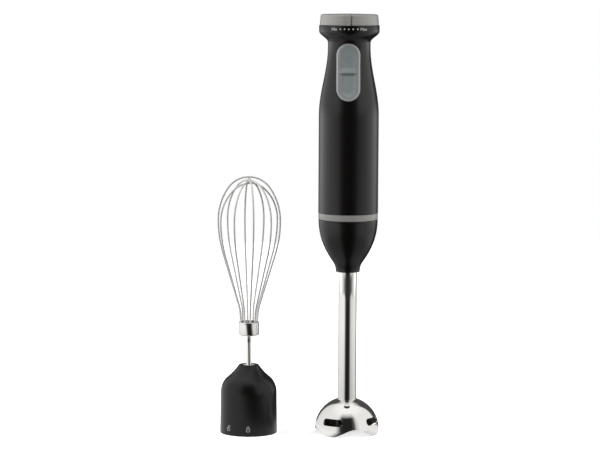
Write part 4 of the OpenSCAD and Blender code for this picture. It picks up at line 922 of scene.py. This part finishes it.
# %% Light by direction
def compass(tree, vector):
    """Degrees clockwise from the lens, atan2(x, -y), as 0 at -180 and 1 at +180, and the vector's parts."""
    split = add(tree, "ShaderNodeSeparateXYZ", {"Vector": vector})
    towards = add(tree, "ShaderNodeMath", {"operation": "MULTIPLY", 0: split.outputs["Y"], 1: -1.0})
    angle = add(tree, "ShaderNodeMath", {"operation": "ARCTAN2", 0: split.outputs["X"], 1: towards.outputs[0]})
    turn = add(tree, "ShaderNodeMapRange", {"Value": angle.outputs[0], "From Min": -math.pi, "From Max": math.pi})
    return turn.outputs["Result"], split


def painted(ramp, brightness):
    """Greys by degrees on a compass ramp. A ramp holds no value over 1, so all are divided by 2."""
    points = ramp.color_ramp.elements
    while len(points) < len(brightness):
        points.new(0.5)
    for point, (angle, value) in zip(points, brightness):
        point.position, point.color = (angle + 180) / 360, (value / 2, value / 2, value / 2, 1.0)
    return ramp.outputs["Color"]


# Brightness by degrees from the lens: of the walls from eye height up, and of the same walls low down, where
# the long side lamps hang
walls = [(-180, 0.1), (-151, 0.08), (-143, 0.85), (-120, 0.93), (-60, 0.98), (-42, 0.95), (-34, 0.55), (-24, 0.05),
         (-14, 0.02), (18, 0.02), (28, 0.12), (36, 0.7), (48, 0.98), (125, 0.98), (133, 0.07), (180, 0.1)]
low_walls = [(-180, 0.1), (-150, 0.3), (-138, 1.3), (-122, 1.9), (-95, 1.4), (-74, 1.0), (-56, 0.62), (-40, 0.22),
             (-24, 0.06), (-12, 0.03), (14, 0.03), (26, 0.06), (40, 0.12), (57, 0.38), (76, 0.85), (97, 1.3),
             (112, 1.7), (126, 1.5), (140, 0.3), (180, 0.1)]
ceiling = (0.56, 0.56, 0.56, 1.0)

world = bpy.data.worlds.new("white_studio")
bpy.context.scene.world = world
world.use_nodes = True
tree = world.node_tree
tree.nodes.clear()
turn, way = compass(tree, add(tree, "ShaderNodeTexCoord", {}).outputs["Generated"])
eye_level = add(tree, "ShaderNodeMapRange", {"Value": way.outputs["Z"], "From Min": -0.02, "From Max": 0.0})
around = add(tree, "ShaderNodeMixRGB", {"Color1": painted(add(tree, "ShaderNodeValToRGB", {"Fac": turn}), low_walls),
                                        "Color2": painted(add(tree, "ShaderNodeValToRGB", {"Fac": turn}), walls),
                                        "Fac": eye_level.outputs["Result"]})
height = add(tree, "ShaderNodeMapRange", {"Value": way.outputs["Z"], "From Min": 0.72, "From Max": 0.93})
whole = add(tree, "ShaderNodeMixRGB", {"Color1": around.outputs["Color"], "Color2": ceiling,
                                       "Fac": height.outputs["Result"]})
room = add(tree, "ShaderNodeBackground", {"Strength": 2.0, "Color": whole.outputs["Color"]})
white = add(tree, "ShaderNodeBackground", {"Color": (1, 1, 1, 1), "Strength": 1.0})
by_camera = add(tree, "ShaderNodeLightPath", {}).outputs["Is Camera Ray"]
shown = add(tree, "ShaderNodeMixShader", {0: by_camera, 1: room.outputs[0], 2: white.outputs[0]})
add(tree, "ShaderNodeOutputWorld", {"Surface": shown.outputs[0]})
print("room:", len(walls), "and", len(low_walls), "stops round the compass")

# %% [markdown]
# ## The floor
# A pale sweep of paper. One plane stands for three things, and the ray that asks decides which of them it is:
# a mirror sees a table, the lens sees white paper, and the other pieces get the light that paper throws back.
# All three depend on how far a place is from the two axes. Only the blender is a mirror near the floor, so the
# table's degrees are counted round its axis.

# %% Distances on the floor
half_gap = (bx - wx) / 2000
sweep = bpy.data.materials.new("white_sweep")
sweep.use_nodes = True
tree = sweep.node_tree
tree.nodes.clear()
place = add(tree, "ShaderNodeSeparateXYZ", {"Vector": add(tree, "ShaderNodeTexCoord", {}).outputs["Object"]})
local_x = add(tree, "ShaderNodeMath", {"operation": "SUBTRACT", 0: place.outputs["X"], 1: half_gap})
local = add(tree, "ShaderNodeCombineXYZ", {"X": local_x.outputs[0], "Y": place.outputs["Y"]})
from_blender = add(tree, "ShaderNodeVectorMath", {"operation": "LENGTH", 0: local.outputs[0]}).outputs["Value"]
outward = add(tree, "ShaderNodeMath", {"operation": "ABSOLUTE", 0: place.outputs["X"]})
outward = add(tree, "ShaderNodeMath", {"operation": "SUBTRACT", 0: outward.outputs[0], 1: half_gap})
nearest = add(tree, "ShaderNodeCombineXYZ", {"X": outward.outputs[0], "Y": place.outputs["Y"]})
from_axis = add(tree, "ShaderNodeVectorMath", {"operation": "LENGTH", 0: nearest.outputs[0]}).outputs["Value"]
print("half the distance between the axes: %.1f mm" % (1000 * half_gap))

# %% [markdown]
# ### The table in the mirrors
# It shows bright sides and a dark front, as the room above it does. It is brighter where it is seen at a low
# angle, as any table is, and far off, and it is dark in the shelter of the bell.

# %% What a mirror sees
table = [(-180, 0.2), (-155, 0.12), (-143, 0.9), (-120, 1.15), (-60, 1.2), (-42, 1.1), (-33, 0.65), (-25, 0.12),
         (-14, 0.02), (16, 0.02), (25, 0.1), (33, 0.45), (44, 0.85), (75, 1.0), (92, 1.1), (124, 0.95), (135, 0.15),
         (150, 0.04), (170, 0.05), (180, 0.3)]
turn, _ = compass(tree, local.outputs[0])
grazing = add(tree, "ShaderNodeLayerWeight", {"Blend": 0.5})
sheen = add(tree, "ShaderNodeMapRange", {"Value": grazing.outputs["Facing"], "From Min": 0.45, "From Max": 0.85,
                                         "To Min": 0.8, "To Max": 1.8})
far_off = add(tree, "ShaderNodeMapRange", {"Value": from_axis, "From Min": 0.26, "From Max": 0.42, "To Max": 1.5})
shelter = add(tree, "ShaderNodeMapRange", {"Value": from_blender, "From Min": 0.022, "From Max": 0.029,
                                           "To Min": 0.1})
bright = add(tree, "ShaderNodeMath", {"operation": "MAXIMUM", 0: sheen.outputs["Result"],
                                      1: far_off.outputs["Result"]})
bright = add(tree, "ShaderNodeMath", {"operation": "MULTIPLY", 0: bright.outputs[0], 1: shelter.outputs["Result"]})
# The table is painted reflection: an emission that only glossy rays see, with its bright sides, dark front, low-angle
# sheen and the shade in the bell's shelter all painted in
mirrored = add(tree, "ShaderNodeEmission", {"Color": painted(add(tree, "ShaderNodeValToRGB", {"Fac": turn}), table),
                                            "Strength": bright.outputs[0]})
print("table:", len(table), "stops round the blender")

# %% [markdown]
# ### The paper
# The lens sees matt white paper that keeps the soft shadows of the set, and a glow under bell and holder, where
# no light would reach. What lights the set from below is plain paper, a little darker, so that it doesn't flood
# the undersides.

# %% What the lens sees, and the plane itself
lit_paper = add(tree, "ShaderNodeBsdfDiffuse", {"Color": (1.5, 1.5, 1.5, 1.0)})
under = add(tree, "ShaderNodeMapRange", {"Value": from_axis, "From Min": 0.027, "From Max": 0.033, "To Min": 0.6,
                                         "To Max": 0.0})
glow = add(tree, "ShaderNodeEmission", {"Strength": under.outputs["Result"]})
lit_paper = add(tree, "ShaderNodeAddShader", {0: lit_paper.outputs[0], 1: glow.outputs[0]})
paper = add(tree, "ShaderNodeBsdfDiffuse", {"Color": linear("#e4e3e0")})
light_path = add(tree, "ShaderNodeLightPath", {})
shown = add(tree, "ShaderNodeMixShader", {0: light_path.outputs["Is Camera Ray"], 1: paper.outputs[0],
                                          2: lit_paper.outputs[0]})
whole = add(tree, "ShaderNodeMixShader", {0: light_path.outputs["Is Glossy Ray"], 1: shown.outputs[0],
                                          2: mirrored.outputs[0]})
add(tree, "ShaderNodeOutputMaterial", {"Surface": whole.outputs[0]})
bpy.ops.mesh.primitive_plane_add(size=3.2)
floor = bpy.context.object
floor.name = "floor"
floor.data.materials.append(sweep)
print("floor: %d nodes in its material" % len(tree.nodes))

# %% [markdown]
# ## The whisk in the mirrors
# Two polished things side by side show each other, and that breaks up their long clean reflections. They could
# be moved apart, but their places are given by the solids. So all that stands left of the middle is hidden from
# glossy rays alone: the lens and the lamps still see it.

# %% What no mirror shows
hidden = [piece for piece in bpy.context.scene.objects
          if piece.type == "MESH" and piece != floor and max(corner[0] for corner in piece.bound_box) < 0]
for piece in hidden:
    piece.visible_glossy = False
print("pieces that no mirror shows:", len(hidden))

# %% [markdown]
# ## The lamps
# The room gives the mirrors their picture, but matt plastic needs lamps to model it. Two large soft ones stand
# at the sides, the left a little stronger, and a third hangs over the camera and draws the ridge between the
# keys. No mirror shows them, as the room's bright sides stand in for them there.


# %% Lamps
def lamp(name, at, target, size, power):
    """A soft rectangular lamp that looks at its target."""
    data = bpy.data.lights.new(name, "AREA")
    data.shape, data.size, data.size_y, data.energy = "RECTANGLE", size[0], size[1], power
    thing = bpy.data.objects.new(name, data)
    bpy.context.scene.collection.objects.link(thing)
    thing.location = at
    x, y, z = np.array(at) - np.array(target)
    thing.rotation_euler = Euler((math.atan2(math.hypot(x, y), z), 0, math.atan2(y, x) + math.pi / 2))
    thing.visible_glossy = False
    print("%s: %d W from %.2f m" % (name, power, math.sqrt(x * x + y * y + z * z)))


lamp("left_soft", (-1.6, 0.2, 0.8), (0, 0, 0.2), (1.2, 1.4), 15)
lamp("right_soft", (1.6, 0.2, 0.8), (0, 0, 0.2), (1.2, 1.4), 11)
lamp("top_soft", (-0.1, -1.2, 2.0), (0, 0, 0.3), (1.2, 0.8), 10)

# %% [markdown]
# ## The camera
# A long lens from 2.3 metres keeps the uprights nearly parallel. It stands a little above the set's middle and
# looks down by six degrees, so that the top of the dial is a thin ellipse.

# %% Camera
eye = bpy.data.cameras.new("camera")
eye.lens, eye.sensor_width = 148.1, 36
camera = bpy.data.objects.new("camera", eye)
bpy.context.scene.collection.objects.link(camera)
camera.location = (0.00105, -2.327, 0.4477)
# The lens looks 6.1 degrees down and is rolled by about a quarter of a degree round its own axis
tilt, roll = Euler((math.radians(83.9), 0, 0)).to_matrix(), Euler((0, 0, math.radians(0.27))).to_matrix()
camera.rotation_euler = (tilt @ roll).to_euler()
bpy.context.scene.camera = camera
bpy.context.scene.view_settings.view_transform = "Standard"
print("camera %.2f m from the blender" % math.hypot(camera.location[0] - bx / 1000, camera.location[1]))
